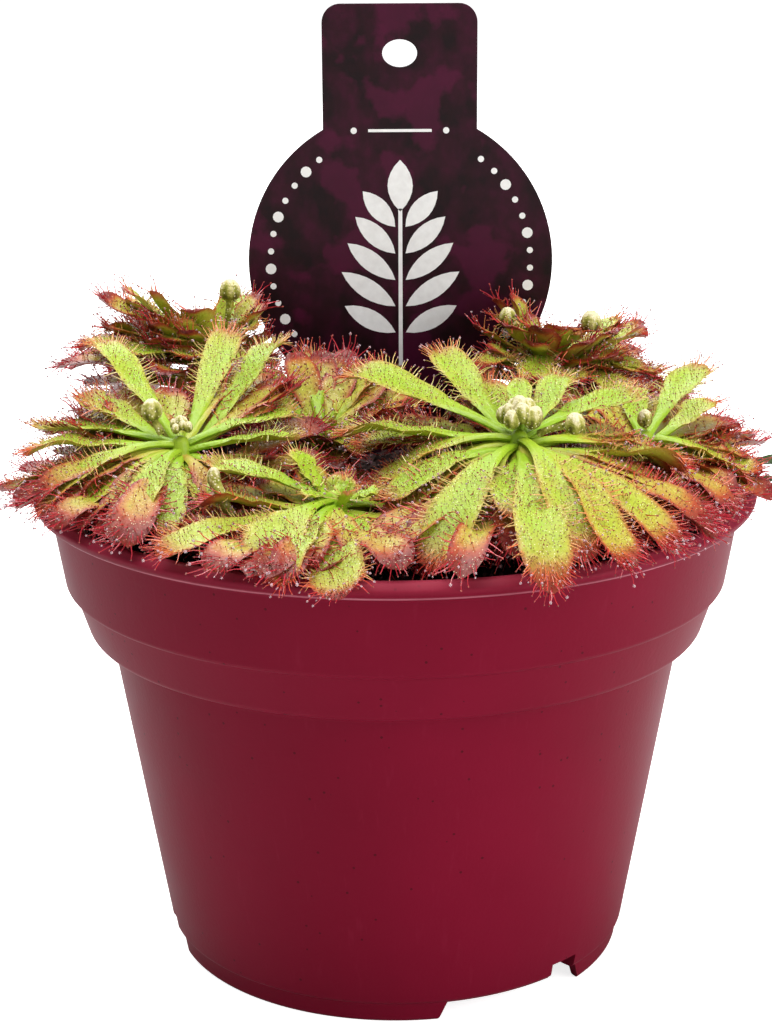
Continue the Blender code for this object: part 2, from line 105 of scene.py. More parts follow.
def eased(profile):
    """Round every corner of a closed profile that is off the axis."""
    made = []
    for index, corner in enumerate(profile):
        corner = Vector(corner)
        if corner.x < ON_AXIS:
            made.append(tuple(corner))
            continue
        before = Vector(profile[index - 1]) - corner
        after = Vector(profile[(index + 1) % len(profile)]) - corner
        start = corner + before.normalized() * min(CORNER_CUT, before.length * 0.4)
        end = corner + after.normalized() * min(CORNER_CUT, after.length * 0.4)
        for step in range(CORNER_STEPS + 1):
            share = step / CORNER_STEPS
            made.append(tuple(start.lerp(corner, share).lerp(corner.lerp(end, share), share)))
    return made


def mesh_from(bm, name):
    """What was built, as a mesh."""
    mesh = bpy.data.meshes.new(name)
    bm.to_mesh(mesh)
    bm.free()
    return mesh


def turned_mesh(name, profile, segments):
    """A closed profile of radius and height in millimetres, turned about Z into a closed skin."""
    bm = bmesh.new()
    rings = []
    for radius, height in profile:
        if radius < ON_AXIS:
            rings.append([bm.verts.new((0, 0, height * MM))])
            continue
        ring = []
        for segment in range(segments):
            angle = 2 * math.pi * segment / segments
            place = (radius * MM * math.cos(angle), radius * MM * math.sin(angle), height * MM)
            ring.append(bm.verts.new(place))
        rings.append(ring)
    for upper, lower in zip(rings, rings[1:] + rings[:1]):
        if len(upper) == 1 and len(lower) == 1:
            continue
        for segment in range(segments):
            beside = (segment + 1) % segments
            corners = [upper[segment % len(upper)], lower[segment % len(lower)]]
            corners += [lower[beside % len(lower)], upper[beside % len(upper)]]
            bm.faces.new(list(dict.fromkeys(corners)))
    bmesh.ops.recalc_face_normals(bm, faces=bm.faces)
    return mesh_from(bm, name)


def add_object(name, mesh):
    """Link a mesh to the scene as a named object."""
    made = bpy.data.objects.new(name, mesh)
    bpy.context.scene.collection.objects.link(made)
    return made


def shown_mesh(made):
    """A plain mesh of what an object shows."""
    bpy.context.view_layer.update()
    depsgraph = bpy.context.evaluated_depsgraph_get()
    return bpy.data.meshes.new_from_object(made.evaluated_get(depsgraph))


def keep_shown(made):
    """Turn what an object's modifiers show into its own mesh."""
    mesh = shown_mesh(made)
    made.modifiers.clear()
    made.data = mesh


def finish_piece(made, material, slot, *nodes, crease=40.0):
    """Give a piece its finish and its place on the potted plant's one body."""
    made.data.materials.clear()
    made.data.materials.append(material)
    made.data.shade_smooth()
    made.data.set_sharp_from_angle(angle=math.radians(crease))
    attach(made, "root")
    if nodes:
        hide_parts(*nodes)


def put(tree, kind, inputs=None, **properties):
    """Add a node. An input takes a value or another node's output."""
    made = tree.nodes.new(kind)
    for name, value in properties.items():
        setattr(made, name, value)
    for name, value in (inputs or {}).items():
        if isinstance(value, bpy.types.NodeSocket):
            tree.links.new(value, made.inputs[name])
        else:
            made.inputs[name].default_value = value
    return made


def new_finish(name, roughness, **constants):
    """A material with its shader, whose steady values sit on the shader's own sockets."""
    material = bpy.data.materials.new(name)
    material.use_nodes = True
    shader = material.node_tree.nodes["Principled BSDF"]
    shader.inputs["Roughness"].default_value = roughness
    for socket, value in constants.items():
        shader.inputs[socket.replace("_", " ")].default_value = value
    return material, material.node_tree, shader


def feed(tree, shader, **sockets):
    """Link outputs to the shader's sockets."""
    for socket, output in sockets.items():
        tree.links.new(output, shader.inputs[socket.replace("_", " ")])


def object_place(tree):
    """The coordinates that a pattern is laid out in."""
    return put(tree, "ShaderNodeTexCoord").outputs["Object"]


def float_math(tree, operation, first, second, clamped=False):
    """One operation on numbers."""
    inputs = {0: first, 1: second}
    return put(tree, "ShaderNodeMath", inputs, operation=operation, use_clamp=clamped).outputs[0]


def mixed(tree, share, first, second):
    """Two colours mixed by a share. A colour is red, green and blue, or another node's output."""
    inputs = {0: share}
    for socket, colour in ((6, first), (7, second)):
        inputs[socket] = colour if isinstance(colour, bpy.types.NodeSocket) else (*colour, 1)
    return put(tree, "ShaderNodeMix", inputs, data_type="RGBA").outputs[2]


def ranged(tree, value, low, high, to_low=0.0, to_high=1.0):
    """A value moved from one range to another and held inside it."""
    inputs = {"Value": value, "From Min": low, "From Max": high, "To Min": to_low, "To Max": to_high}
    return put(tree, "ShaderNodeMapRange", inputs).outputs["Result"]


def grainy(tree, place, scale, detail=2.0):
    """Uneven grain between 0 and 1."""
    inputs = {"Vector": place, "Scale": scale, "Detail": detail}
    return put(tree, "ShaderNodeTexNoise", inputs).outputs[0]


def effect_group(name, floats, output):
    """An empty shader group with a place, named float inputs and one float output."""
    group = bpy.data.node_groups.new(name, "ShaderNodeTree")
    group.interface.new_socket("Place", in_out="INPUT", socket_type="NodeSocketVector")
    for socket in floats:
        group.interface.new_socket(socket, in_out="INPUT", socket_type="NodeSocketFloat")
    group.interface.new_socket(output, in_out="OUTPUT", socket_type="NodeSocketFloat")
    return group, group.nodes.new("NodeGroupInput").outputs, group.nodes.new("NodeGroupOutput").inputs


def build_specks():
    """Small scattered spots: how much of each cell they fill is their size."""
    group, given, result = effect_group("specks", ("Scale", "Size", "Share"), "Mask")
    inputs = {"Vector": given["Place"], "Scale": given["Scale"]}
    cells = put(group, "ShaderNodeTexVoronoi", inputs).outputs
    near = float_math(group, "LESS_THAN", cells["Distance"], given["Size"])
    chance = put(group, "ShaderNodeSeparateColor", {0: cells["Color"]}).outputs[0]
    chosen = float_math(group, "LESS_THAN", chance, given["Share"])
    group.links.new(float_math(group, "MULTIPLY", near, chosen), result["Mask"])
    return group


def build_mottle():
    """Soft cloudy variation between 0 and 1 about a half."""
    group, given, result = effect_group("mottle", ("Scale", "Contrast"), "Cloud")
    cloud = grainy(group, given["Place"], given["Scale"], 4.0)
    centred = float_math(group, "SUBTRACT", cloud, 0.5)
    spread = float_math(group, "MULTIPLY", centred, given["Contrast"])
    group.links.new(float_math(group, "ADD", spread, 0.5, clamped=True), result["Cloud"])
    return group


specks_group = build_specks()
mottle_group = build_mottle()


def specks(tree, place, scale, size, share):
    """The specks effect placed in a material."""
    inputs = {"Place": place, "Scale": scale, "Size": size, "Share": share}
    return put(tree, "ShaderNodeGroup", inputs, node_tree=specks_group).outputs[0]


def mottle(tree, place, scale, contrast):
    """The mottle effect placed in a material."""
    inputs = {"Place": place, "Scale": scale, "Contrast": contrast}
    return put(tree, "ShaderNodeGroup", inputs, node_tree=mottle_group).outputs[0]


def bumped(tree, shader, height, strength, distance):
    """Feed a height into the shader's normal."""
    inputs = {"Height": height, "Strength": strength, "Distance": distance}
    feed(tree, shader, Normal=put(tree, "ShaderNodeBump", inputs).outputs["Normal"])


BURGUNDY = ((0.128, 0.0020, 0.0130), (0.165, 0.0034, 0.0190))
DRAW_LINES = (0.19, 0.010, 0.030)
DRAW_STRETCH = (900.0, 900.0, 25.0)
DUST = (0.07, 0.003, 0.009)
# Painted sheen: the lip's top is made paler and pinker where light falls on it from above.
LIP_PAINTED_SHEEN = (0.40, 0.052, 0.085)
# Painted highlight: a bright line along the lip's lower edge, where that edge catches the light.
LIP_PAINTED_HIGHLIGHT = (0.66, 0.27, 0.33)
LIP_FOOT = 78.3
SHEEN_FROM, SHEEN_TO = LIP_FOOT + 0.9, LIP_FOOT + 2.4
HIGHLIGHT_FROM, HIGHLIGHT_PEAK, HIGHLIGHT_TO = LIP_FOOT - 0.1, LIP_FOOT + 0.25, LIP_FOOT + 0.6


def make_pot_finish():
    """Burgundy plastic: cloudy colour, faint draw lines, dust, a lip top made paler by painted sheen, and a
    painted highlight line along the lip's foot.
    """
    material, tree, shader = new_finish("pot_plastic", 0.42, Specular_IOR_Level=0.05)
    place = object_place(tree)
    cloud = mottle(tree, place, 28.0, 1.6)
    colour = mixed(tree, cloud, *BURGUNDY)
    stretched = put(tree, "ShaderNodeMapping", {"Vector": place, "Scale": DRAW_STRETCH}).outputs[0]
    worn = ranged(tree, grainy(tree, stretched, 1.0), 0.62, 0.75, 0.0, 0.22)
    colour = mixed(tree, worn, colour, DRAW_LINES)
    colour = mixed(tree, specks(tree, place, 900.0, 0.20, 0.05), colour, DUST)
    height = put(tree, "ShaderNodeSeparateXYZ", {0: place}).outputs[2]
    # Painted sheen on the lip's top.
    lip_sheen = ranged(tree, height, SHEEN_FROM * MM, SHEEN_TO * MM, 0.0, 0.45)
    colour = mixed(tree, lip_sheen, colour, LIP_PAINTED_SHEEN)
    # A painted highlight line along the lip's lower edge.
    above = ranged(tree, height, HIGHLIGHT_FROM * MM, HIGHLIGHT_PEAK * MM)
    below = ranged(tree, height, HIGHLIGHT_PEAK * MM, HIGHLIGHT_TO * MM, 1.0, 0.0)
    highlight_line = float_math(tree, "MULTIPLY", above, below)
    colour = mixed(tree, float_math(tree, "MULTIPLY", highlight_line, cloud), colour, LIP_PAINTED_HIGHLIGHT)
    feed(tree, shader, Base_Color=colour, Roughness=ranged(tree, cloud, 0.0, 1.0, 0.38, 0.52))
    bumped(tree, shader, grainy(tree, place, 1600.0), 0.12, 0.0002)
    return material


def pot_profile():
    """The closed section of the pot: outside, foot, floor and inside."""
    inside = [(radius - POT_WALL, height + STEP_WALL) for radius, height in reversed(POT_STEPS)]
    return [*POT_LIP, *POT_STEPS, *POT_FOOT, *POT_FLOOR, *inside, LIP_INNER]


def foot_cutter(size, place, angle, slant=0.0):
    """A closed block, wider at its foot by the slant, turned about Z to its foot."""
    size = [value * MM for value in size]
    bm = bmesh.new()
    bmesh.ops.create_cube(bm, size=1.0)
    for vert in bm.verts:
        widened = size[0] + (2 * slant * MM if vert.co.z < 0 else 0.0)
        vert.co = (vert.co.x * widened, vert.co.y * size[1], vert.co.z * size[2])
    bm.transform(Matrix.Translation([value * MM for value in place]))
    bm.transform(Matrix.Rotation(math.radians(angle), 4, "Z"))
    return bm


def cut_feet(pot):
    """Cut the gaps in the foot ring and the drain opening beside each foot."""
    cutters = bpy.data.collections.new("foot_cutters")
    for number in range(FEET):
        turn = 360 / FEET * number
        gap = foot_cutter(FOOT_GAP_SIZE, FOOT_GAP_PLACE, FOOT_GAP_ANGLE + turn, FOOT_GAP_SLANT)
        drain = foot_cutter(DRAIN_SIZE, DRAIN_PLACE, DRAIN_ANGLE + turn)
        for name, shape in (("gap", gap), ("drain", drain)):
            cutters.objects.link(bpy.data.objects.new(f"{name}_{number}", mesh_from(shape, name)))
    cut = pot.modifiers.new("feet", "BOOLEAN")
    cut.operation = "DIFFERENCE"
    cut.operand_type = "COLLECTION"
    cut.collection = cutters
    cut.solver = "EXACT"
    keep_shown(pot)
    for cutter in list(cutters.objects):
        bpy.data.objects.remove(cutter)
    bpy.data.collections.remove(cutters)


pot = add_object("pot_shell", turned_mesh("pot_shell", eased(pot_profile()), POT_SEGMENTS))
cut_feet(pot)
finish_piece(pot, make_pot_finish(), "pot_plastic", "pot")

# Peat. Damp black peat with purple-brown bark bits and a few white mineral grains. It fills
# the pot loosely and is pressed up in a low mound round every stem. A crown is the top of a
# stem: its place from the pot's axis, and its height above the lip.
CROWNS = {
    "right": (19.0, -31.0, 15.5),
    "left": (-33.5, -22.0, 12.5),
    "front": (-9.0, -38.0, 8.0),
    "edge": (40.0, -14.0, 11.0),
    "back_right": (27.0, 23.0, 17.0),
    "back_left": (-32.0, 22.0, 19.0),
    "back": (2.0, 45.0, 6.0),
    "middle": (-12.0, -2.0, 10.0),
}
PEAT_BED = 76.5
PEAT_RADIUS = 55.2
PEAT_RINGS = 56
PEAT_SEGMENTS = 150
PEAT_FLOOR = ((37.7, 5.4), (0.0, 5.4))
WALL_GAP = 0.4
STEP_GAP = 0.3
MOUND_HEIGHT = 7.0
MOUND_WIDTH = 10.0
EDGE_WIDTH = 3.0
PEAT_COLOURS = ((0.010, 0.006, 0.006), (0.045, 0.025, 0.022), (0.10, 0.045, 0.055))
BARK_COLOURS = ((0.02, 0.010, 0.010), (0.06, 0.03, 0.028), (0.11, 0.05, 0.05))
SAND_SPECK = (0.42, 0.38, 0.34)
PER_SQUARE_METRE = 1_000_000


def peat_level(x, y):
    """Height of the peat in millimetres at a place in millimetres."""
    height = PEAT_BED
    for crown in CROWNS.values():
        distance = math.hypot(x - crown[0], y - crown[1])
        height += MOUND_HEIGHT * math.exp(-((distance / MOUND_WIDTH) ** 2))
    return height


def lumpy(x, y):
    """The crumbly relief of the peat in millimetres."""
    coarse = noise.noise(Vector((x * 0.16, y * 0.16, 3.1)))
    fine = noise.noise(Vector((x * 0.7, y * 0.7, 8.4)))
    return 1.3 * coarse + 0.55 * fine


def make_peat():
    """The peat's crumbly top on a plain body that fills the pot."""
    profile = [(PEAT_RADIUS * ring / PEAT_RINGS, PEAT_BED) for ring in range(PEAT_RINGS + 1)]
    for radius, height in POT_STEPS:
        profile.append((radius - POT_WALL - WALL_GAP, height + STEP_WALL + STEP_GAP))
    mesh = turned_mesh("peat_body", [*profile, *PEAT_FLOOR], PEAT_SEGMENTS)
    for vert in mesh.vertices:
        x, y, z = (value / MM for value in vert.co)
        if z > PEAT_BED - 0.1:
            edge = min(1.0, (PEAT_RADIUS - math.hypot(x, y)) / EDGE_WIDTH)
            vert.co.z = (peat_level(x, y) + lumpy(x, y) * edge) * MM
    return add_object("peat_body", mesh)


def make_peat_finish(name, dark, brown, pale):
    """Peat: three tones by cloud and cell, rough and crumbly."""
    material, tree, shader = new_finish(name, 0.92, Specular_IOR_Level=0.15)
    place = object_place(tree)
    colour = mixed(tree, mottle(tree, place, 190.0, 2.6), dark, brown)
    colour = mixed(tree, specks(tree, place, 900.0, 0.42, 0.20), colour, pale)
    colour = mixed(tree, specks(tree, place, 1400.0, 0.22, 0.035), colour, SAND_SPECK)
    feed(tree, shader, Base_Color=colour)
    bumped(tree, shader, grainy(tree, place, 1100.0, 5.0), 0.8, 0.0007)
    return material


def crumb_shape(name, seed, roughness):
    """A small broken lump, one unit across."""
    bm = bmesh.new()
    bmesh.ops.create_icosphere(bm, subdivisions=1, radius=0.5)
    for vert in bm.verts:
        vert.co *= 1 + roughness * noise.noise(vert.co * 2.3 + Vector((seed, 0, 0)))
        vert.co.z *= 0.7
    return add_object(name, mesh_from(bm, name))


def random_value(tree, low, high, seed, kind="FLOAT"):
    """A random number for each item of the tree, from a seed of its own."""
    made = put(tree, "FunctionNodeRandomValue", {"Seed": seed}, data_type=kind)
    index = 0 if kind == "FLOAT_VECTOR" else 2
    made.inputs[index].default_value = low
    made.inputs[index + 1].default_value = high
    return made.outputs[0 if kind == "FLOAT_VECTOR" else 1]


def compare(tree, operation, first, second):
    """Whether two numbers stand in an order."""
    return put(tree, "FunctionNodeCompare", {0: first, 1: second}, operation=operation).outputs[0]


def open_tree(name, floats):
    """A geometry tree with a mesh in and out, a shape to copy, its finish, a seed and floats."""
    tree = bpy.data.node_groups.new(name, "GeometryNodeTree")
    tree.interface.new_socket("Geometry", in_out="OUTPUT", socket_type="NodeSocketGeometry")
    kinds = {"Geometry": "Geometry", "Shape": "Object", "Finish": "Material", "Seed": "Int"}
    kinds.update(dict.fromkeys(floats, "Float"))
    for socket, kind in kinds.items():
        tree.interface.new_socket(socket, in_out="INPUT", socket_type="NodeSocket" + kind)
    return tree, put(tree, "NodeGroupInput").outputs


def close_tree(tree, given, points, turn, scale, chosen=True):
    """Copy the shape onto points, make the copies real and give them their finish."""
    shape = put(tree, "GeometryNodeObjectInfo", {"Object": given["Shape"]}).outputs["Geometry"]
    inputs = {"Points": points, "Selection": chosen, "Instance": shape, "Rotation": turn, "Scale": scale}
    copies = put(tree, "GeometryNodeInstanceOnPoints", inputs).outputs[0]
    real = put(tree, "GeometryNodeRealizeInstances", {"Geometry": copies}).outputs[0]
    finished = put(tree, "GeometryNodeSetMaterial", {"Geometry": real, "Material": given["Finish"]})
    put(tree, "NodeGroupOutput", {0: finished.outputs[0]})
    return tree


def grow(name, ground, tree, values):
    """Run a tree on a copy of the ground's mesh and keep what it makes as a plain piece."""
    made = add_object(name, ground.data.copy())
    modifier = made.modifiers.new(tree.name, "NODES")
    modifier.node_group = tree
    for socket in tree.interface.items_tree:
        if socket.in_out == "INPUT" and socket.name in values:
            modifier[socket.identifier] = values[socket.name]
    keep_shown(made)
    return made


def build_scatter():
    """Loose bits lying on the level faces of a surface, turned every way."""
    tree, given = open_tree("loose_bits", ("Density", "Smallest", "Largest"))
    normal = put(tree, "GeometryNodeInputNormal").outputs[0]
    upward = put(tree, "ShaderNodeSeparateXYZ", {0: normal}).outputs[2]
    inputs = {
        "Mesh": given["Geometry"],
        "Selection": compare(tree, "GREATER_THAN", upward, 0.5),
        "Density": given["Density"],
        "Seed": given["Seed"],
    }
    spread = put(tree, "GeometryNodeDistributePointsOnFaces", inputs).outputs
    turn = random_value(tree, (0, 0, 0), (6.28, 6.28, 6.28), 5, "FLOAT_VECTOR")
    skewed = float_math(tree, "POWER", random_value(tree, 0.0, 1.0, 9), 2.2)
    scale = ranged(tree, skewed, 0.0, 1.0, given["Smallest"], given["Largest"])
    return close_tree(tree, given, spread["Points"], turn, scale)


scatter_tree = build_scatter()
peat_finish = make_peat_finish("peat", *PEAT_COLOURS)
bark_finish = make_peat_finish("peat_bark", *BARK_COLOURS)
peat = make_peat()
lump = crumb_shape("lump_shape", 1.7, 0.9)
splinter = crumb_shape("splinter_shape", 6.2, 1.4)
for corner in splinter.data.vertices:
    corner.co.x *= 2.6


def scatter(name, shape, finish, per_mm2, seed, smallest, largest):
    """Scatter one kind of bit over the peat. Sizes are in millimetres."""
    values = {
        "Shape": shape,
        "Finish": finish,
        "Density": per_mm2 * PER_SQUARE_METRE,
        "Seed": seed,
        "Smallest": smallest * MM,
        "Largest": largest * MM,
    }
    finish_piece(grow(name, peat, scatter_tree, values), finish, "peat", crease=20.0)


scatter("peat_crumbs", lump, peat_finish, 0.30, 3, 0.6, 2.6)
scatter("peat_bark_bits", splinter, bark_finish, 0.10, 14, 0.4, 1.5)
# The grains have no finish yet, and show the renderer's plain pale default.
scatter("peat_grains", lump, None, 0.035, 25, 0.3, 1.1)
finish_piece(peat, peat_finish, "peat", "soil")
for template in (lump, splinter):
    bpy.data.objects.remove(template)

# Plant tag. A flat card of dark printed plastic, punched to a round head with a square tab
# and a hang hole, pushed into the peat by its stake. The print is white ink on a blotched,
# near-black maroon. Its outlines are in millimetres from the middle of the card at the lip.
TAG_Y = 30.0 * MM
TAG_X = 1.2 * MM
TAG_THICKNESS = 0.8 * MM
TAG_EDGE = 0.1 * MM
TAG_TOP = 75.1
DISC_RADIUS = 26.7
DISC_HEIGHT = 30.6
TAB_WIDTH = 26.7
TAB_CORNER = 3.2
STAKE_WIDTH, STAKE_TIP_WIDTH, STAKE_DEPTH = 16.0, 9.0, 38.0
STAKE_TIP = 9.0
HOLE_WIDTH, HOLE_HEIGHT, HOLE_DROP = 6.0, 4.7, 8.4
INK = 0.05 * MM
RULE = ((-5.5, 53.3), (5.5, 53.3), (5.5, 53.8), (-5.5, 53.8))
RULE_DOT = (8.0, 53.55, 0.55)
RING_RADIUS = 22.8
RING_DOTS = 13
RING_SPAN = (-42.0, 52.0)
SMALL_DOT, LARGE_DOT = 0.55, 0.95
SPRAY_STALK = ((-0.35, 12.0), (0.35, 12.0), (0.35, 40.0), (-0.35, 40.0))
SPRAY_PAIRS = 5
PAIR_STEP = 4.7
LEAFLET_STEPS = 8
TAG_GROUND = ((0.0065, 0.0010, 0.0022), (0.036, 0.0012, 0.0125))
TAG_SHADE = (0.014, 0.0010, 0.0034)
TAG_MAGENTA = (0.072, 0.0022, 0.026)
INK_COLOURS = ((0.72, 0.71, 0.70), (0.86, 0.86, 0.85))


def arc(centre, radius, start, end, steps):
    """Points along an arc, with the angles in degrees and both ends included."""
    points = []
    for step in range(steps + 1):
        angle = math.radians(start + (end - start) * step / steps)
        points.append((centre[0] + radius * math.cos(angle), centre[1] + radius * math.sin(angle)))
    return points


def tag_outline():
    """The keyhole outline from the foot of the stake."""
    half_tab = TAB_WIDTH / 2
    join = math.degrees(math.acos(half_tab / DISC_RADIUS))
    foot = math.degrees(math.acos(STAKE_WIDTH / 2 / DISC_RADIUS))
    right = [(STAKE_TIP_WIDTH / 8, 0.3 - STAKE_DEPTH), (STAKE_TIP_WIDTH / 2, STAKE_TIP - STAKE_DEPTH)]
    right += arc((0, DISC_HEIGHT), DISC_RADIUS, -foot, join, 48)
    right += arc((half_tab - TAB_CORNER, TAG_TOP - TAB_CORNER), TAB_CORNER, 0, 90, 10)
    return right + [(-x, height) for x, height in reversed(right)]


def hang_hole():
    """The oval hole in the tab."""
    height = TAG_TOP - HOLE_DROP
    return [(x * HOLE_WIDTH / 2, height + y * HOLE_HEIGHT / 2) for x, y in arc((0, 0), 1, 0, 350, 35)]


def welded(mesh, nearness):
    """Merge points that lie together, with a nearness in millimetres, and face skins outwards."""
    bm = bmesh.new()
    bm.from_mesh(mesh)
    bmesh.ops.remove_doubles(bm, verts=bm.verts, dist=nearness * MM)
    bmesh.ops.recalc_face_normals(bm, faces=bm.faces)
    bm.to_mesh(mesh)
    bm.free()
    return mesh


def flat_mesh(name, outlines, thickness, soft_edge, front):
    """Flat outlines, stood upright with their middle at front, as a closed mesh."""
    curve = bpy.data.curves.new(name, "CURVE")
    curve.dimensions = "2D"
    curve.fill_mode = "BOTH"
    curve.extrude = thickness / 2 - soft_edge
    curve.bevel_depth = soft_edge
    curve.bevel_resolution = 1
    curve.offset = -soft_edge
    for outline in outlines:
        spline = curve.splines.new("POLY")
        spline.points.add(len(outline) - 1)
        for point, (x, y) in zip(spline.points, outline):
            point.co = (x * MM, y * MM, 0.0, 1.0)
        spline.use_cyclic_u = True
    guide = add_object(name + "_guide", curve)
    mesh = shown_mesh(guide)
    bpy.data.objects.remove(guide)
    upright = Matrix.Rotation(math.radians(90), 4, "X")
    mesh.transform(Matrix.Translation((TAG_X, front, POT_HEIGHT)) @ upright)
    return welded(mesh, 0.005)


def make_tag_finish():
    """Near-black maroon print with dark magenta blotches, under a thin satin varnish."""
    material, tree, shader = new_finish("tag_print", 0.42, Specular_IOR_Level=0.22)
    place = object_place(tree)
    stretched = put(tree, "ShaderNodeMapping", {"Vector": place, "Scale": (210.0, 210.0, 150.0)}).outputs[0]
    colour = mixed(tree, mottle(tree, stretched, 1.0, 4.2), *TAG_GROUND)
    small = ranged(tree, mottle(tree, stretched, 3.1, 4.0), 0.0, 1.0, 0.0, 0.6)
    colour = mixed(tree, small, colour, TAG_SHADE)
    glow = ranged(tree, mottle(tree, place, 95.0, 6.0), 0.72, 1.0, 0.0, 0.55)
    feed(tree, shader, Base_Color=mixed(tree, glow, colour, TAG_MAGENTA))
    bumped(tree, shader, grainy(tree, place, 1900.0), 0.08, 0.0002)
    return material


def make_clouded_finish(name, roughness, scale, contrast, colours, **constants):
    """A finish of two colours in soft clouds."""
    material, tree, shader = new_finish(name, roughness, **constants)
    cloud = mottle(tree, object_place(tree), scale, contrast)
    feed(tree, shader, Base_Color=mixed(tree, cloud, *colours))
    return material


def leaflet(x, y, length, width, lean):
    """A pointed leaflet outline from its foot, leaning by an angle in degrees from upright."""
    shares = [step / LEAFLET_STEPS for step in range(LEAFLET_STEPS + 1)]
    sides = [(1, share) for share in shares] + [(-1, share) for share in shares[-2:0:-1]]
    turn = math.radians(-lean)
    cosine, sine = math.cos(turn), math.sin(turn)
    points = []
    for side, share in sides:
        px, py = side * width / 2 * math.sin(math.pi * share) ** 0.8, length * share
        points.append((x + px * cosine - py * sine, y + px * sine + py * cosine))
    return points


def tag_print():
    """A fern-like spray between two side rows of dots, and a rule with two dots on the tab."""
    marks = [RULE]
    marks += [arc((side * RULE_DOT[0], RULE_DOT[1]), RULE_DOT[2], 0, 337.5, 15) for side in (-1, 1)]
    for x, y in arc((0, 0), RING_RADIUS, *RING_SPAN, RING_DOTS - 1):
        for side in (-1, 1):
            size = LARGE_DOT if len(marks) % 6 < 2 else SMALL_DOT
            marks.append(arc((side * x, DISC_HEIGHT + y), size, 0, 330, 11))
    marks.append(leaflet(0, 39.5, 9.0, 4.4, 0))
    for pair in range(SPRAY_PAIRS):
        height = 18.0 + PAIR_STEP * pair
        length = 11.5 - 1.1 * abs(pair - 1.2)
        for side in (-1, 1):
            marks.append(leaflet(side * 0.9, height, length, 3.4, side * (62 - 5 * pair)))
    return marks + [SPRAY_STALK]


card_mesh = flat_mesh("tag_card", [tag_outline(), hang_hole()], TAG_THICKNESS, TAG_EDGE, TAG_Y)
finish_piece(add_object("tag_card", card_mesh), make_tag_finish(), "tag_plastic", "tag", crease=15.0)
ink_bm = bmesh.new()
for mark in tag_print():
    mark_mesh = flat_mesh("mark", [mark], INK, 0.0, TAG_Y - TAG_THICKNESS / 2)
    ink_bm.from_mesh(mark_mesh)
    bpy.data.meshes.remove(mark_mesh)
ink_finish = make_clouded_finish("white_ink", 0.5, 800.0, 1.5, INK_COLOURS)
finish_piece(add_object("tag_ink", mesh_from(ink_bm, "tag_ink")), ink_finish, "tag_plastic")

# Rosettes. Each plant is a short stem with spoon-shaped leaves: a smooth lime petiole widens
# to a shallow sticky blade with a thin raised rim. Young leaves stand up green, and the older
# ones arch down over the lip and turn orange and red from the tip. A leaf is its azimuth in
# degrees, its reach from the stem, the height of its tip above the lip, and its width.
LEAVES = {
    "right": (
        (87, 11, 21, 4.0), (60, 17, 20, 5.0), (121, 25, 23, 6.0), (104, 19, 19, 6.0),
        (140, 33, 19.5, 7.0), (165, 28, 12.5, 7.0), (-157, 22, 6.5, 8.0), (-97, 20, 7, 7.5),
        (-73, 26, 1.5, 7.0), (-57, 30, 1, 6.5), (-42, 30, 1.5, 6.0), (5, 26, 7.5, 8.0),
        (42, 25, 17.5, 6.5), (-118, 28, 0.5, 8.0), (-88, 31, -1, 8.0), (-139, 23, 2, 7.5),
        (178, 24, 4.5, 7.5), (17, 26, 5, 7.0), (152, 28, 10, 7.0), (105, 23, 12, 7.0),
        (75, 21, 12, 7.0),
    ),
    "left": (
        (155, 27, 11.5, 6.5), (170, 25, 8.5, 6.5), (-178, 19, 6.5, 6.0), (174, 30, 2.5, 6.0),
        (-166, 23, 1.5, 6.0), (-108, 20, 2, 6.5), (-90, 21, 2.5, 6.0), (-70, 17, 3.5, 5.5),
        (122, 27, 22.5, 5.5), (145, 22, 16, 6.0), (75, 26, 24, 5.5), (52, 26, 22.5, 5.5),
        (25, 19, 15, 5.5), (-5, 19, 12.5, 5.5), (-30, 11, 6, 4.5), (100, 21, 13, 6.0),
    ),
    "front": (
        (165, 20, 11, 7.0), (135, 9, 12.5, 4.5), (-150, 29, 1.5, 6.5), (-86, 27, -0.5, 8.0),
        (-125, 21, 1, 9.0), (-106, 25, 0.5, 5.0), (-66, 16, 2.5, 5.0),
    ),
    "edge": (
        (60, 22, 17.5, 6.5), (22, 13, 14, 6.0), (31, 21, 6.8, 6.0), (-11, 19, 5, 6.0),
        (-22, 17, 3, 6.0), (95, 17, 14, 6.0), (57, 26, 3, 6.0),
    ),
    "back_right": (
        (-105, 15, 14, 6.5), (-143, 16, 15, 6.5), (-72, 14, 13, 6.5), (-38, 18, 11, 6.5),
        (-120, 9, 22, 5.5), (-60, 10, 21, 6.0), (-8, 20, 13, 6.5), (10, 13, 21, 6.0),
        (150, 11, 21, 6.0), (20, 26, 5, 6.5), (45, 27, 5, 6.5), (75, 29, 4, 6.5),
        (97, 22, 8, 6.5),
    ),
    "back_left": (
        (165, 20, 25, 6.5), (-168, 23, 18, 7.0), (-150, 12, 25, 6.5), (-115, 11, 24, 6.5),
        (60, 12, 24, 6.0), (-40, 11, 22, 6.0), (-138, 18, 19, 7.0), (-103, 14, 18, 7.0),
        (-68, 14, 15, 6.5), (-25, 13, 15, 6.0), (85, 24, 11, 7.0), (110, 30, 6, 7.0),
        (135, 27, 7, 7.0), (160, 27, 12, 6.5),
    ),
    "back": (
        (60, 13, 10, 5.0), (-170, 14, 9, 5.5), (10, 15, 8, 5.5), (125, 17, 6, 6.0),
        (88, 18, 1.5, 6.5), (40, 18, 3, 6.0), (160, 19, 3, 6.0), (-30, 12, 3, 5.0),
        (-150, 13, 3, 5.0),
    ),
    "middle": (
        (100, 16, 18, 6.0), (60, 17, 15, 6.0), (140, 14, 16, 6.0), (-118, 13, 7, 6.0),
        (-62, 12, 6, 6.0), (20, 17, 11, 6.0), (-178, 11, 8, 5.0),
    ),
}
PETIOLE = 1.6
ROOT_RADIUS = 1.2
ROOT_DROP = 1.4
WHORL = 4
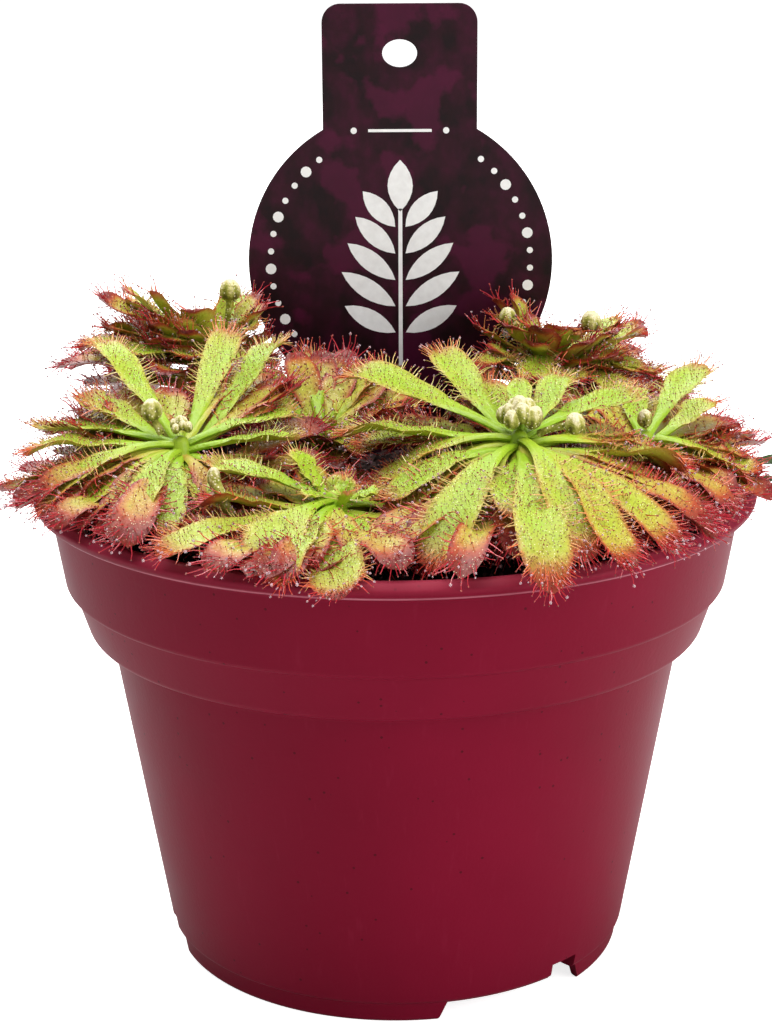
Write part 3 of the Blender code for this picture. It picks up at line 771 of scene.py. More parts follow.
WHORL_STEP = 0.95
LEAF_ROWS = 17
LOWER_LEAF_ROWS = 13
TIP_CROWDING = 1.4
TIP_LENGTH = 0.66
SIDE_BEND = 0.07
TWIST = 14.0
EDGE_WAVE = 0.26
MIDRIB_GROOVE = 0.16
TOP_SIDE = (-1.0, -0.74, -0.4, 0.0, 0.4, 0.74, 1.0)
UNDER_SIDE = (0.66, 0.2, -0.2, -0.66)
STEM_ROWS = 11
STEM_SIDES = 14
BUDDING = ("right", "left", "edge")
YOUNG_LEAVES = 6
GOLDEN_ANGLE = 137.5
BLADE_RIPENESS = 0.11
BLADE_AGEING = 0.34
RIM_RIPENESS = 0.13
RIM_AGEING = 0.30
TIP_RIPENESS = 0.20
TIP_AGEING = 0.60
PETIOLE_GREEN = 0.08
RIPEST = 0.74
REDDER = {"back_right": 0.12, "back_left": 0.05, "edge": 0.08, "middle": 0.06}
LEAF_COLOURS = (
    (0.0, (0.20, 0.38, 0.012)),
    (0.20, (0.32, 0.46, 0.022)),
    (0.38, (0.43, 0.40, 0.045)),
    (0.52, (0.42, 0.20, 0.035)),
    (0.66, (0.36, 0.060, 0.020)),
    (0.82, (0.19, 0.020, 0.016)),
    (1.0, (0.045, 0.018, 0.012)),
)
GLAND_FOOT = (0.13, 0.035, 0.014)
# Painted glints: pale specks on the blades that stand in for light caught by the dew.
PAINTED_GLINT = (0.80, 0.78, 0.48)


def smooth(value):
    """Ease from 0 to 1."""
    value = np.clip(value, 0.0, 1.0)
    return value * value * (3 - 2 * value)


def unit(vectors):
    """Vectors made one long."""
    return vectors / np.linalg.norm(vectors, axis=-1, keepdims=True)


def above_lip(points):
    """Points in millimetres from the lip's height, as places in metres from the ground."""
    places = points * MM
    places[:, 2] += POT_HEIGHT
    return places


def tube_faces(rows, sides):
    """The faces between rings of points that follow each other."""
    faces = []
    for row in range(rows - 1):
        for step in range(sides):
            here, beside = row * sides + step, row * sides + (step + 1) % sides
            faces.append((here, beside, beside + sides, here + sides))
    return faces


def spine(along, reach, root, tip, bend, curl):
    """The arched midrib from the stem to the tip: out, sideways and up, in millimetres."""
    control = root + 0.5 * max(tip - root, 0.0) + 0.07 * reach
    rest = 1 - along
    out = ROOT_RADIUS * rest**2 + along * rest * (reach + ROOT_RADIUS) + reach * along**2
    up = root * rest**2 + 2 * control * along * rest + tip * along**2
    end = np.clip((along - 0.6) / 0.4, 0, None)
    up = up + curl * reach * 0.16 * (end**2 - end)
    return np.stack([out, bend * reach * along**2, up], axis=-1)


def leaf_sheet(crown, leaf, number, age, limp=0.0, rows=LEAF_ROWS):
    """One leaf as points, faces and the values that its finish and its tentacles read."""
    azimuth, reach, tip, width = leaf
    root = crown[2] - ROOT_DROP - WHORL_STEP * (number % WHORL) - limp
    curve = (reach, root, tip, SIDE_BEND * math.sin(1.9 * number), math.sin(4.3 * number + 1.0) - 0.3)
    along = 1 - (1 - np.linspace(0.0, 1.0, rows)[:-1]) ** TIP_CROWDING
    middle = spine(along, *curve)
    tangent = unit(spine(along + 0.01, *curve) - middle)
    level = unit(np.cross(tangent, (0, 0, 1)))
    turn = (math.radians(TWIST * math.sin(2.7 * number)) * along)[:, None]
    side = level * np.cos(turn) + np.cross(tangent, level) * np.sin(turn)
    normal = np.cross(side, tangent)

    half = PETIOLE / 2 + (width - PETIOLE) / 2 * smooth((along - 0.12) / 0.66)
    tip_share = min(0.45, TIP_LENGTH * width / reach)
    half = (half * np.sqrt(1 - np.clip((along - 1 + tip_share) / tip_share, 0, 1) ** 2))[:, None]
    blade = smooth((along - 0.22) / 0.25)[:, None]
    tipness = smooth((along - 0.7) / 0.3)[:, None]
    across = np.array(TOP_SIDE + UNDER_SIDE)
    is_top = np.array([1.0] * len(TOP_SIDE) + [-1.0] * len(UNDER_SIDE))
    thickness = (0.55 - 0.18 * blade) * (np.sqrt(1 - across**2) * is_top)
    hollow = (0.20 + 0.14 * math.sin(3.1 * number)) * half * blade
    wave = EDGE_WAVE * np.sin(along * 19 + number)[:, None] * np.abs(across) ** 3 * blade
    groove = MIDRIB_GROOVE * np.exp(-((across / 0.22) ** 2)) * (is_top > 0)
    lift = thickness + hollow * across**2 + wave - groove
    points = middle[:, None, :] + side[:, None, :] * (half * across)[:, :, None]
    points = points + normal[:, None, :] * lift[:, :, None]
    apex = spine(np.array([1.0]), *curve)

    rim = np.clip(np.maximum(np.abs(across)[None, :] ** 3, tipness**2), 0, 1) * blade
    forward = (0.15 + 1.3 * tipness)[:, :, None]
    outward = unit(side[:, None, :] * across[None, :, None] + tangent[:, None, :] * forward)
    bearing = np.where(is_top > 0, 1.0, 0.0)[None, :] * blade
    ripe = BLADE_RIPENESS + BLADE_AGEING * age + (RIM_RIPENESS + RIM_AGEING * age) * rim**1.5
    ripe = ripe + TIP_AGEING * age * tipness**2 - PETIOLE_GREEN * (1 - blade)
    ripe = ripe + TIP_RIPENESS * tipness * rim**2
    ripe = np.clip(ripe + 0.03 * math.sin(7.1 * number), 0.02, RIPEST)
    spot = np.broadcast_to((along * reach)[:, None], rim.shape)
    place = np.stack([spot, across * half, rim * 0 + number], axis=-1)
    values = {
        "rim": np.append(rim.ravel(), 1.0),
        "bearing": np.append(bearing.ravel(), 1.0),
        "ripeness": np.append(ripe.ravel(), ripe[-1].max()),
    }

    ring = len(across)
    last = (len(along) - 1) * ring
    faces = tube_faces(len(along), ring)
    faces += [(last + step, last + (step + 1) % ring, rim.size) for step in range(ring)]
    faces.append(tuple(range(ring))[::-1])
    spin = np.array(Matrix.Rotation(math.radians(azimuth), 3, "Z"))
    places = np.vstack([points.reshape(-1, 3), apex]) @ spin.T + (crown[0], crown[1], 0)
    vectors = {
        "outward": np.vstack([outward.reshape(-1, 3), tangent[-1:]]) @ spin.T,
        "blade_place": np.vstack([place.reshape(-1, 3), [[reach, 0, number]]]),
    }
    return above_lip(places), faces, values, vectors


def joined_sheets(name, sheets):
    """Sheets as one mesh, with their values as attributes."""
    points = np.vstack([sheet[0] for sheet in sheets])
    faces, start = [], 0
    for sheet in sheets:
        faces += [tuple(corner + start for corner in face) for face in sheet[1]]
        start += len(sheet[0])
    mesh = bpy.data.meshes.new(name)
    mesh.from_pydata(points.tolist(), [], faces)
    for key in sheets[0][2]:
        data = np.concatenate([sheet[2][key] for sheet in sheets]).astype(np.float32)
        mesh.attributes.new(key, "FLOAT", "POINT").data.foreach_set("value", data)
    for key in sheets[0][3]:
        data = np.vstack([sheet[3][key] for sheet in sheets]).astype(np.float32)
        mesh.attributes.new(key, "FLOAT_VECTOR", "POINT").data.foreach_set("vector", data.ravel())
    mesh.validate()
    return mesh


def stem_sheet(crown, foot_drop):
    """The short stem, knobbly with old leaf bases, with a domed top."""
    top = crown[2] - 0.9
    bottom = peat_level(crown[0], crown[1]) - POT_HEIGHT / MM - foot_drop
    shaft = STEM_ROWS - 3
    heights = [bottom + (top - bottom) * row / shaft for row in range(shaft + 1)] + [top + 0.55, top + 0.8]
    widths = [3.3 - 2.0 * (row / shaft) ** 1.5 for row in range(shaft + 1)] + [0.9, 0.35]
    points = []
    for row, (height, width) in enumerate(zip(heights, widths)):
        for step in range(STEM_SIDES):
            angle = 2 * math.pi * step / STEM_SIDES
            radius = width * (1 + 0.08 * math.sin(angle * 5 + row * 2.1))
            points.append((radius * math.cos(angle), radius * math.sin(angle), height))
    count = len(points)
    faces = tube_faces(STEM_ROWS, STEM_SIDES)
    faces.append(tuple(range(STEM_SIDES))[::-1])
    faces.append(tuple(range(count - STEM_SIDES, count)))
    shares = np.repeat(np.linspace(0, 1, STEM_ROWS), STEM_SIDES)
    values = {
        "rim": np.zeros(count),
        "bearing": np.zeros(count),
        "ripeness": 0.98 - 0.88 * smooth((shares - 0.25) / 0.35),
    }
    vectors = {"outward": np.tile((0.0, 0.0, 1.0), (count, 1)), "blade_place": np.zeros((count, 3))}
    return above_lip(np.array(points) + (crown[0], crown[1], 0)), faces, values, vectors


def colour_ramp(tree, value, stops):
    """A ramp of colours read at a value."""
    ramp = put(tree, "ShaderNodeValToRGB", {0: value})
    elements = ramp.color_ramp.elements
    while len(elements) < len(stops):
        elements.new(0.5)
    for element, (position, colour) in zip(elements, stops):
        element.position = position
        element.color = (*colour, 1)
    return ramp.outputs[0]


def carried(tree, name, output="Fac"):
    """A value that the mesh carries."""
    return put(tree, "ShaderNodeAttribute", attribute_name=name).outputs[output]


def make_leaf_finish():
    """Sundew leaf: lime to orange, red and brown by ripeness, with dark gland feet and painted glints of
    dew.
    """
    material, tree, shader = new_finish("leaf_skin", 0.4, Specular_IOR_Level=0.35)
    place = object_place(tree)
    blade_place = carried(tree, "blade_place", "Vector")
    bearing = carried(tree, "bearing")
    cloud = mottle(tree, place, 420.0, 1.8)
    ripe = float_math(tree, "ADD", carried(tree, "ripeness"), float_math(tree, "MULTIPLY", cloud, 0.14))
    colour = colour_ramp(tree, ripe, LEAF_COLOURS)
    feet = float_math(tree, "MULTIPLY", specks(tree, blade_place, 2.1, 0.30, 0.9), bearing)
    colour = mixed(tree, float_math(tree, "MULTIPLY", feet, 0.55), colour, GLAND_FOOT)
    # Painted glints of dew on the bearing face.
    painted_glint = float_math(tree, "MULTIPLY", specks(tree, blade_place, 2.7, 0.2, 0.6), bearing)
    colour = mixed(tree, float_math(tree, "MULTIPLY", painted_glint, 0.7), colour, PAINTED_GLINT)
    feed(tree, shader, Base_Color=colour, Roughness=ranged(tree, cloud, 0, 1, 0.28, 0.5))
    bumped(tree, shader, grainy(tree, place, 1300.0, 3.0), 0.4, 0.0005)
    return material


def top_leaves(plant, crown):
    """The stem, the top leaves and the youngest leaves of one plant as sheets."""
    sheets = [stem_sheet(crown, 6.0)]
    for number, leaf in enumerate(LEAVES[plant]):
        lowness = min(1.0, max(0.0, (crown[2] - leaf[2]) / 16))
        age = 0.03 + 0.24 * lowness + 0.07 * math.sin(5.3 * number + len(plant))
        age += REDDER.get(plant, 0.0)
        sheets.append(leaf_sheet(crown, leaf, number, max(0.0, age)))
    for number in range(0 if plant in BUDDING else YOUNG_LEAVES):
        azimuth, reach = GOLDEN_ANGLE * number + 25, 2.8 + 0.8 * number
        leaf = (azimuth, reach, crown[2] + 1.2 - 0.3 * number, 1.6 + 0.3 * number)
        sheets.append(leaf_sheet(crown, leaf, number, 0.0, limp=-0.6))
    return sheets


leaf_finish = make_leaf_finish()
blades = {}
for plant, crown in CROWNS.items():
    name = "leaves_" + plant
    blades[plant] = add_object(name, joined_sheets(name, top_leaves(plant, crown)))

# Under-leaves. Below the top leaves of each rosette lie fuller whorls: ripening leaves with
# red rims, then red old ones that reach for the lip, and withered brown ones on the peat.
# For each plant: the ripening leaves, their least and greatest age, how far below the top
# leaves they lie at least and most, the side that they crowd, and the old leaves.
LOWER_WHORLS = {
    "right": (36, 0.25, 0.70, 1.0, 5.5, -50, 42),
    "left": (42, 0.25, 0.80, 0.0, 5.0, 178, 32),
    "front": (26, 0.15, 0.60, 1.0, 3.5, -95, 34),
    "edge": (28, 0.40, 0.90, -2.0, 3.5, 20, 22),
    "back_right": (50, 0.20, 0.75, -8.0, 4.0, 20, 18),
    "back_left": (50, 0.12, 0.70, -8.0, 4.0, 180, 18),
    "back": (14, 0.50, 0.90, -1.0, 3.0, 90, 10),
    "middle": (28, 0.30, 0.80, -3.0, 4.0, 60, 14),
}
WITHERED = 10
WIDEST = 65.0
SHORTEST = 5.0
NEARNESS = 28
TAG_MARGIN = 2.5
LIP_FROM = 46.0
LIP_WIDTH = 8.0
OVER_LIP = 1.6
OVER_PEAT = 1.2
# Top leaves that hang over the lip, with shorter leaves below them.
SHOWN = {"front": (-86, -150), "right": (-88, -57), "left": (-90,)}
SHOWN_WIDTH = 12
SHOWN_STRETCH = 0.7


def meets_tag(crown, x, y):
    """Whether a leaf from the crown to a place would touch or pass through the tag."""
    tag_x, tag_y = TAG_X / MM, TAG_Y / MM
    if abs(y - tag_y) < TAG_MARGIN + 2:
        return abs(x - tag_x) < DISC_RADIUS + 3
    if (crown[1] - tag_y) * (y - tag_y) > 0:
        return False
    share = (tag_y - crown[1]) / (y - crown[1])
    crossing = crown[0] + (x - crown[0]) * share
    return abs(crossing - tag_x) < DISC_RADIUS + 3


def typical_leaf(plant, azimuth):
    """The reach and tip height of the plant's top leaves near an azimuth."""
    total, reach, tip = 0.0, 0.0, 0.0
    for leaf in LEAVES[plant]:
        apart = (azimuth - leaf[0] + 180) % 360 - 180
        weight = math.exp(-((apart / NEARNESS) ** 2)) + 1e-4
        total += weight
        reach += weight * leaf[1]
        tip += weight * leaf[2]
    return reach / total, tip / total


def lower_leaf(plant, crown, azimuth, stretch, drop, width):
    """A leaf below the top ones, clear of the tag, the peat and the pot's lip."""
    reach, tip = typical_leaf(plant, azimuth)
    for shown in SHOWN.get(plant, ()):
        if abs((azimuth - shown + 180) % 360 - 180) < SHOWN_WIDTH:
            stretch *= SHOWN_STRETCH
    reach = max(reach * stretch, SHORTEST) + 1
    blocked = True
    while blocked and reach > SHORTEST:
        reach -= 1
        x = crown[0] + reach * math.cos(math.radians(azimuth))
        y = crown[1] + reach * math.sin(math.radians(azimuth))
        blocked = math.hypot(x, y) > WIDEST or meets_tag(crown, x, y)
    lowest = peat_level(x, y) - POT_HEIGHT / MM + OVER_PEAT
    lowest += (OVER_LIP - lowest) * float(smooth((math.hypot(x, y) - LIP_FROM) / LIP_WIDTH))
    return azimuth, reach, max(lowest, tip - drop), width


def under_leaves(plant, crown):
    """The ripening, old and withered leaves of one plant as sheets."""
    pick = random.Random(len(plant) * 31 + int(crown[0]))
    sheets = []
    ripening, youngest, oldest, least, most, side, old = LOWER_WHORLS[plant]
    for number in range(ripening):
        azimuth = GOLDEN_ANGLE * number + pick.uniform(-15, 15)
        if number % 3 == 0:
            azimuth = side + pick.uniform(-50, 50)
        size = (pick.uniform(0.66, 1.0), pick.uniform(least, most), pick.uniform(5.0, 7.0))
        leaf = lower_leaf(plant, crown, azimuth, *size)
        age = pick.uniform(youngest, oldest)
        sheets.append(leaf_sheet(crown, leaf, number, age, 1.2, LOWER_LEAF_ROWS))
    outward = math.degrees(math.atan2(crown[1], crown[0]))
    for number in range(old):
        azimuth = GOLDEN_ANGLE * number + 60 + pick.uniform(-20, 20)
        if number % 2:
            azimuth = outward + pick.uniform(-85, 85)
        size = (pick.uniform(0.85, 1.30), pick.uniform(4, 9), pick.uniform(5, 8))
        leaf = lower_leaf(plant, crown, azimuth, *size)
        limp = pick.uniform(0.12, 0.35) * (crown[2] + 2)
        age = pick.uniform(0.6, 1.0)
        sheets.append(leaf_sheet(crown, leaf, number, age, limp, LOWER_LEAF_ROWS))
    for number in range(WITHERED):
        azimuth = GOLDEN_ANGLE * number + 20 + 30 * pick.random()
        size = (pick.uniform(0.4, 0.6), 40, pick.uniform(2.0, 4.0))
        leaf = lower_leaf(plant, crown, azimuth, *size)
        limp = pick.uniform(0.4, 0.75) * (crown[2] + 2)
        sheet = leaf_sheet(crown, leaf, number, 1.0, limp, LOWER_LEAF_ROWS)
        sheet[2]["ripeness"] = np.full(len(sheet[0]), pick.uniform(0.86, 1.0))
        sheet[2]["bearing"] *= 0.0
        sheets.append(sheet)
    return sheets


under_blades = {}
for plant, crown in CROWNS.items():
    name = "under_leaves_" + plant
    under_blades[plant] = add_object(name, joined_sheets(name, under_leaves(plant, crown)))

# Tentacles. Every blade bears stalked glands: short and close on the face, longer and leaning
# out along the rim. Each ends in a red gland, and many hold a clear sticky drop. Their shapes
# are one unit long, and a ring of a stalk is its height, radius and bend.
STALK_SIDES = 3
SHORT_STALK = ((0.0, 0.07, 0.0), (0.84, 0.04, 0.06))
SHORT_GLAND = 0.15
LONG_STALK = ((0.0, 0.048, 0.0), (0.55, 0.030, 0.03), (0.93, 0.024, 0.14))
LONG_GLAND = 0.066
DROP_RADIUS = 0.095
DROP_PLACE = (0.16, 0, 0.97)
FACE_BAND = {"From rim": -1.0, "To rim": 0.45, "Lean": 1.2, "Share": 1.0}
RIM_BAND = {"From rim": 0.45, "To rim": 2.0, "Lean": 2.4, "Share": 1.0}
# Spacing on the face and along the rim, then three lengths: a face tentacle's lies between the
# first two, and a rim one's between the last two, before each is varied by chance.
TOP_COVER = (0.58, 0.40, 0.7, 1.1, 2.2)
UNDER_COVER = (1.1, 0.62, 1.1, 1.4, 2.6)
WET_SHARE = 0.25
STALK_COLOURS = (
    (0.15, (0.48, 0.52, 0.12)),
    (0.34, (0.68, 0.46, 0.16)),
    (0.46, (0.72, 0.20, 0.07)),
    (0.62, (0.58, 0.035, 0.035)),
    (0.85, (0.30, 0.014, 0.040)),
    (1.0, (0.16, 0.010, 0.022)),
)
GLAND_COLOURS = ((0.13, 0.022, 0.012), (0.44, 0.07, 0.06))
# The drops are clear. Their pale pinkish white is painted sheen that stands in for the light they catch.
DROP_SHEEN_COLOURS = ((0.62, 0.30, 0.38), (0.92, 0.86, 0.90))


def tentacle_shape(name, rings, gland_size):
    """A tapering stalk with its gland."""
    bm = bmesh.new()
    part = bm.verts.layers.float.new("gland")
    made = []
    for height, radius, bend in rings:
        ring = []
        for step in range(STALK_SIDES):
            angle = 2 * math.pi * step / STALK_SIDES
            ring.append(bm.verts.new((bend + radius * math.cos(angle), radius * math.sin(angle), height)))
        made.append(ring)
    for lower, upper in zip(made, made[1:]):
        for step in range(STALK_SIDES):
            beside = (step + 1) % STALK_SIDES
            bm.faces.new((lower[step], lower[beside], upper[beside], upper[step]))
    head = bmesh.ops.create_uvsphere(bm, u_segments=4, v_segments=2, radius=gland_size)
    for vert in head["verts"]:
        vert[part] = 1.0
        vert.co.z *= 1.35
        vert.co += Vector((rings[-1][2], 0, rings[-1][0] + gland_size * 0.8))
    mesh = mesh_from(bm, name)
    mesh.shade_smooth()
    return add_object(name, mesh)


def drop_shape():
    """The clear drop round a rim gland."""
    bm = bmesh.new()
    place = Matrix.Translation(DROP_PLACE) @ Matrix.Diagonal((1, 1, 1.2, 1))
    bmesh.ops.create_icosphere(bm, subdivisions=1, radius=DROP_RADIUS, matrix=place)
    mesh = mesh_from(bm, "drop_shape")
    mesh.shade_smooth()
    return add_object("drop_shape", mesh)


def named(tree, name, kind="FLOAT"):
    """An attribute that the blades carry."""
    return put(tree, "GeometryNodeInputNamedAttribute", {"Name": name}, data_type=kind).outputs[0]


def vector_math(tree, operation, inputs):
    """One operation on vectors."""
    return put(tree, "ShaderNodeVectorMath", inputs, operation=operation).outputs[0]


def build_tentacles():
    """Stalked glands on the bearing faces between two shares of the way to the rim."""
    floats = ("Spacing", "From rim", "To rim", "Inner length", "Outer length", "Lean", "Share")
    tree, given = open_tree("sticky_tentacles", floats)
    rim = named(tree, "rim")
    past = compare(tree, "GREATER_THAN", rim, given["From rim"])
    short = compare(tree, "LESS_EQUAL", rim, given["To rim"])
    per_area = float_math(tree, "POWER", given["Spacing"], -2.0)
    inputs = {
        "Mesh": given["Geometry"],
        "Selection": put(tree, "FunctionNodeBooleanMath", {0: past, 1: short}, operation="AND").outputs[0],
        "Distance Min": given["Spacing"],
        "Density Max": float_math(tree, "MULTIPLY", per_area, 1.5),
        "Density Factor": named(tree, "bearing"),
        "Seed": given["Seed"],
    }
    spread = put(tree, "GeometryNodeDistributePointsOnFaces", inputs, distribute_method="POISSON").outputs
    lean = float_math(tree, "MULTIPLY", rim, given["Lean"])
    leaning = vector_math(tree, "SCALE", {0: named(tree, "outward", "FLOAT_VECTOR"), "Scale": lean})
    stray = random_value(tree, (-0.3, -0.3, -0.1), (0.3, 0.3, 0.3), 11, "FLOAT_VECTOR")
    pointing = vector_math(tree, "ADD", {0: spread["Normal"], 1: leaning})
    pointing = vector_math(tree, "ADD", {0: pointing, 1: stray})
    facing = put(tree, "FunctionNodeAlignRotationToVector", {"Vector": pointing}, axis="Z")
    spin = put(tree, "FunctionNodeAxisAngleToRotation", {"Angle": random_value(tree, 0.0, 6.28, 4)})
    turns = {"Rotation": facing.outputs[0], "Rotate By": spin.outputs[0]}
    turned = put(tree, "FunctionNodeRotateRotation", turns, rotation_space="LOCAL").outputs[0]
    length = ranged(tree, rim, 0.0, 1.0, given["Inner length"], given["Outer length"])
    scale = float_math(tree, "MULTIPLY", length, random_value(tree, 0.65, 1.2, 21))
    chosen = compare(tree, "LESS_THAN", random_value(tree, 0.0, 1.0, 33), given["Share"])
    return close_tree(tree, given, spread["Points"], turned, scale, chosen)


def make_tentacle_finish():
    """Stalks pale on young leaves, orange to crimson on rims and old blades, and red glands."""
    material, tree, shader = new_finish("tentacle", 0.22, Specular_IOR_Level=0.5)
    stalk = colour_ramp(tree, carried(tree, "ripeness"), STALK_COLOURS)
    tip = mixed(tree, mottle(tree, object_place(tree), 500.0, 3.0), *GLAND_COLOURS)
    feed(tree, shader, Base_Color=mixed(tree, carried(tree, "gland"), stalk, tip))
    return material


short_tentacle = tentacle_shape("short_tentacle", SHORT_STALK, SHORT_GLAND)
long_tentacle = tentacle_shape("long_tentacle", LONG_STALK, LONG_GLAND)
drop = drop_shape()
tentacle_tree = build_tentacles()
tentacle_finish = make_tentacle_finish()
# The dew is clear, and its pale colour is painted sheen.
drop_finish = make_clouded_finish("dew", 0.03, 900.0, 1.5, DROP_SHEEN_COLOURS, Alpha=0.34, Specular_IOR_Level=1.0)


def dress_blades(label, ground, seed, cover):
    """Grow the tentacles and the drops of one plant's blades."""
    face_spacing, rim_spacing, inner, between, outer = (size * MM for size in cover)
    face = dict(FACE_BAND, Shape=short_tentacle, Finish=tentacle_finish, Seed=seed)
    face.update({"Spacing": face_spacing, "Inner length": inner, "Outer length": between})
    rim = dict(RIM_BAND, Shape=long_tentacle, Finish=tentacle_finish, Seed=seed + 7)
    rim.update({"Spacing": rim_spacing, "Inner length": between, "Outer length": outer})
    wet = dict(rim, Shape=drop, Finish=drop_finish, Share=WET_SHARE)
    for name, values in (("glands_", face), ("fringe_", rim), ("dew_", wet)):
        piece = grow(name + label, ground, tentacle_tree, values)
        finish_piece(piece, values["Finish"], "leaf_green", crease=80.0)


for number, plant in enumerate(CROWNS):
    dress_blades(plant, blades[plant], 40 + number, TOP_COVER)
    dress_blades("under_" + plant, under_blades[plant], 80 + number, UNDER_COVER)
    finish_piece(blades[plant], leaf_finish, "leaf_green", "rosette_" + plant)
    finish_piece(under_blades[plant], leaf_finish, "leaf_green")
for template in (short_tentacle, long_tentacle, drop):
    bpy.data.objects.remove(template)

# Flower buds. The crowns carry tight coils of woolly buds, cream with green sepals, and
# beside them stand single buds on short juicy stalks. A cluster is its side buds, their
# radius and how far they stand from its middle, and a stalk is its foot, bend and top.
BUD_CLUSTERS = {"right": (9, 1.45, 2.45), "left": (6, 0.85, 1.25), "edge": (0, 1.2, 0.0)}
SCAPES = {
    "right": (((21.9, -31.5, 14.9), (24.0, -32.6, 16.2), (27.2, -34.0, 16.9)), 1.7),
    "left": (((-36.5, -21.8, 12.6), (-37.4, -21.5, 14.0), (-38.0, -21.0, 16.2)), 1.8),
    "back_right": (((24.1, 22.7, 17.0), (22.0, 21.6, 19.6), (19.6, 20.0, 22.6)), 1.6),
    "back_edge": (((28.6, 20.7, 16.7), (31.2, 18.2, 19.8), (33.6, 15.2, 22.6)), 1.9),
    "back_left": (((-29.5, 20.1, 19.3), (-28.5, 19.8, 22.9), (-28.2, 19.8, 27.4)), 2.0),
}
SCAPE_RADIUS = 0.55
BUD_HEIGHT = 1.15
BUD_RINGS = 9
BUD_SIDES = 15
SEPALS = 5
SEPAL_GROOVE = 0.20
SCAPE_ROWS = 9
SCAPE_SIDES = 10
# The lowest stops carry painted shade as well as the bud's own green and brown.
BUD_TONES_AND_SHADE = (
    (0.0, (0.10, 0.085, 0.012)),
    (0.35, (0.26, 0.27, 0.03)),
    (0.7, (0.50, 0.46, 0.13)),
    (1.0, (0.76, 0.69, 0.42)),
)
WOOL_TIP = (0.80, 0.74, 0.50)


def bud_sheet(centre, radius, turn, squash=BUD_HEIGHT):
    """One grooved bud of five sepals, as points, faces and values."""
    points, tone_and_shade = [], []
    for ring in range(BUD_RINGS + 1):
        polar = math.pi * ring / BUD_RINGS
        for step in range(BUD_SIDES):
            angle = 2 * math.pi * step / BUD_SIDES
            groove = 1 - SEPAL_GROOVE * math.sin(polar) * (0.5 + 0.5 * math.cos(SEPALS * (angle + turn)))
            reach = radius * math.sin(polar) * groove
            height = radius * squash * math.cos(polar) * (1 + 0.10 * math.cos(polar))
            points.append((reach * math.cos(angle), reach * math.sin(angle), height))
            # Lighter at the top and darker at the foot: partly the cream bud over its green sepals, partly
            # painted shade. Darker in the sepal grooves: painted shade.
            tone_and_shade.append(0.5 + 0.5 * math.cos(polar) - 0.6 * (1 - groove) / 0.2)
    places = above_lip(np.array(points) + centre)
    return places, tube_faces(BUD_RINGS + 1, BUD_SIDES), {"tone_and_shade": np.array(tone_and_shade)}, {}


def stalk_sheet(points, radius):
    """A round stalk from its foot past its bend to its top, as points, faces and values."""
    foot, bend, top = np.array(points, float)
    share = np.linspace(0, 1, SCAPE_ROWS)[:, None]
    along = foot * (1 - share) ** 2 + 2 * bend * share * (1 - share) + top * share**2
    tangent = unit(np.gradient(along, axis=0))
    beside = unit(np.cross(tangent, (0.3, 0.9, 0.1)))
    other = np.cross(tangent, beside)
    angles = np.linspace(0, 2 * math.pi, SCAPE_SIDES, endpoint=False)[None, :, None]
    circle = beside[:, None, :] * np.cos(angles) + other[:, None, :] * np.sin(angles)
    places = above_lip((along[:, None, :] + circle * radius).reshape(-1, 3))
    count = len(places)
    faces = [*tube_faces(SCAPE_ROWS, SCAPE_SIDES), tuple(range(SCAPE_SIDES))[::-1]]
    faces.append(tuple(range(count - SCAPE_SIDES, count)))
    return places, faces, {"tone_and_shade": np.full(count, 0.1)}, {}


def make_bud_finish():
    """Cream wool over green sepals, with a brown flush at the foot that is partly the bud's own colour and
    partly painted shade, and painted shade in the sepal grooves.
    """
    material, tree, shader = new_finish("bud_wool", 0.6, Specular_IOR_Level=0.25)
    place = object_place(tree)
    raised = float_math(tree, "MULTIPLY", mottle(tree, place, 750.0, 3.0), 0.55)
    tone_and_shade = float_math(tree, "ADD", raised, carried(tree, "tone_and_shade"))
    colour = colour_ramp(tree, tone_and_shade, BUD_TONES_AND_SHADE)
    feed(tree, shader, Base_Color=mixed(tree, specks(tree, place, 2300.0, 0.33, 0.4), colour, WOOL_TIP))
    bumped(tree, shader, grainy(tree, place, 2400.0, 3.0), 0.9, 0.0006)
    return material


bud_finish = make_bud_finish()


def bud_piece(name, sheets, *nodes):
    """Buds and stalks as one finished piece, with the points that the poles repeat merged."""
    made = add_object(name, welded(joined_sheets(name, sheets), 0.004))
    finish_piece(made, bud_finish, "bud_cream", *nodes, crease=80.0)


for plant, (count, radius, spread) in BUD_CLUSTERS.items():
    x, y, height = CROWNS[plant]
    base = height + 0.3
    sheets = [bud_sheet((x, y, base + radius * (1.15 + 0.9 * min(count, 1))), radius * 1.1, 0.4)]
    for number in range(count):
        angle = 2 * math.pi * number / count
        level = base + radius * (1.1 + 0.55 * (number % 2))
        inward = 1 - 0.28 * (number % 2)
        centre = (x + spread * inward * math.cos(angle), y + spread * inward * math.sin(angle), level)
        sheets.append(bud_sheet(centre, radius * (0.95 + 0.12 * math.sin(number)), number))
    bud_piece("bud_cluster_" + plant, sheets, "buds_" + plant)
for name, (points, radius) in SCAPES.items():
    sheets = [stalk_sheet(points, SCAPE_RADIUS), bud_sheet(points[2], radius, 0.8, 1.0)]
    bud_piece("bud_stalk_" + name, sheets, "scape_" + name)

# Shoots. Two pale young shoots come up between the rosettes: each is a round stalk that ends
# in a long closed bud, rooted in the peat or in the side of a stem.
SHOOTS = {
    "front": (((-21.5, -42.0, -4.0), (-24.0, -41.5, 4.0), (-27.2, -37.8, 9.8)), 0.8),
    "middle": (((-13.0, -2.8, 9.4), (-17.5, -4.0, 10.0), (-19.4, -6.0, 14.2)), 0.75),
}
for name, (points, radius) in SHOOTS.items():
    bud_piece("shoot_" + name, [stalk_sheet(points, radius), bud_sheet(points[2], radius * 1.35, 0.2, 1.5)])

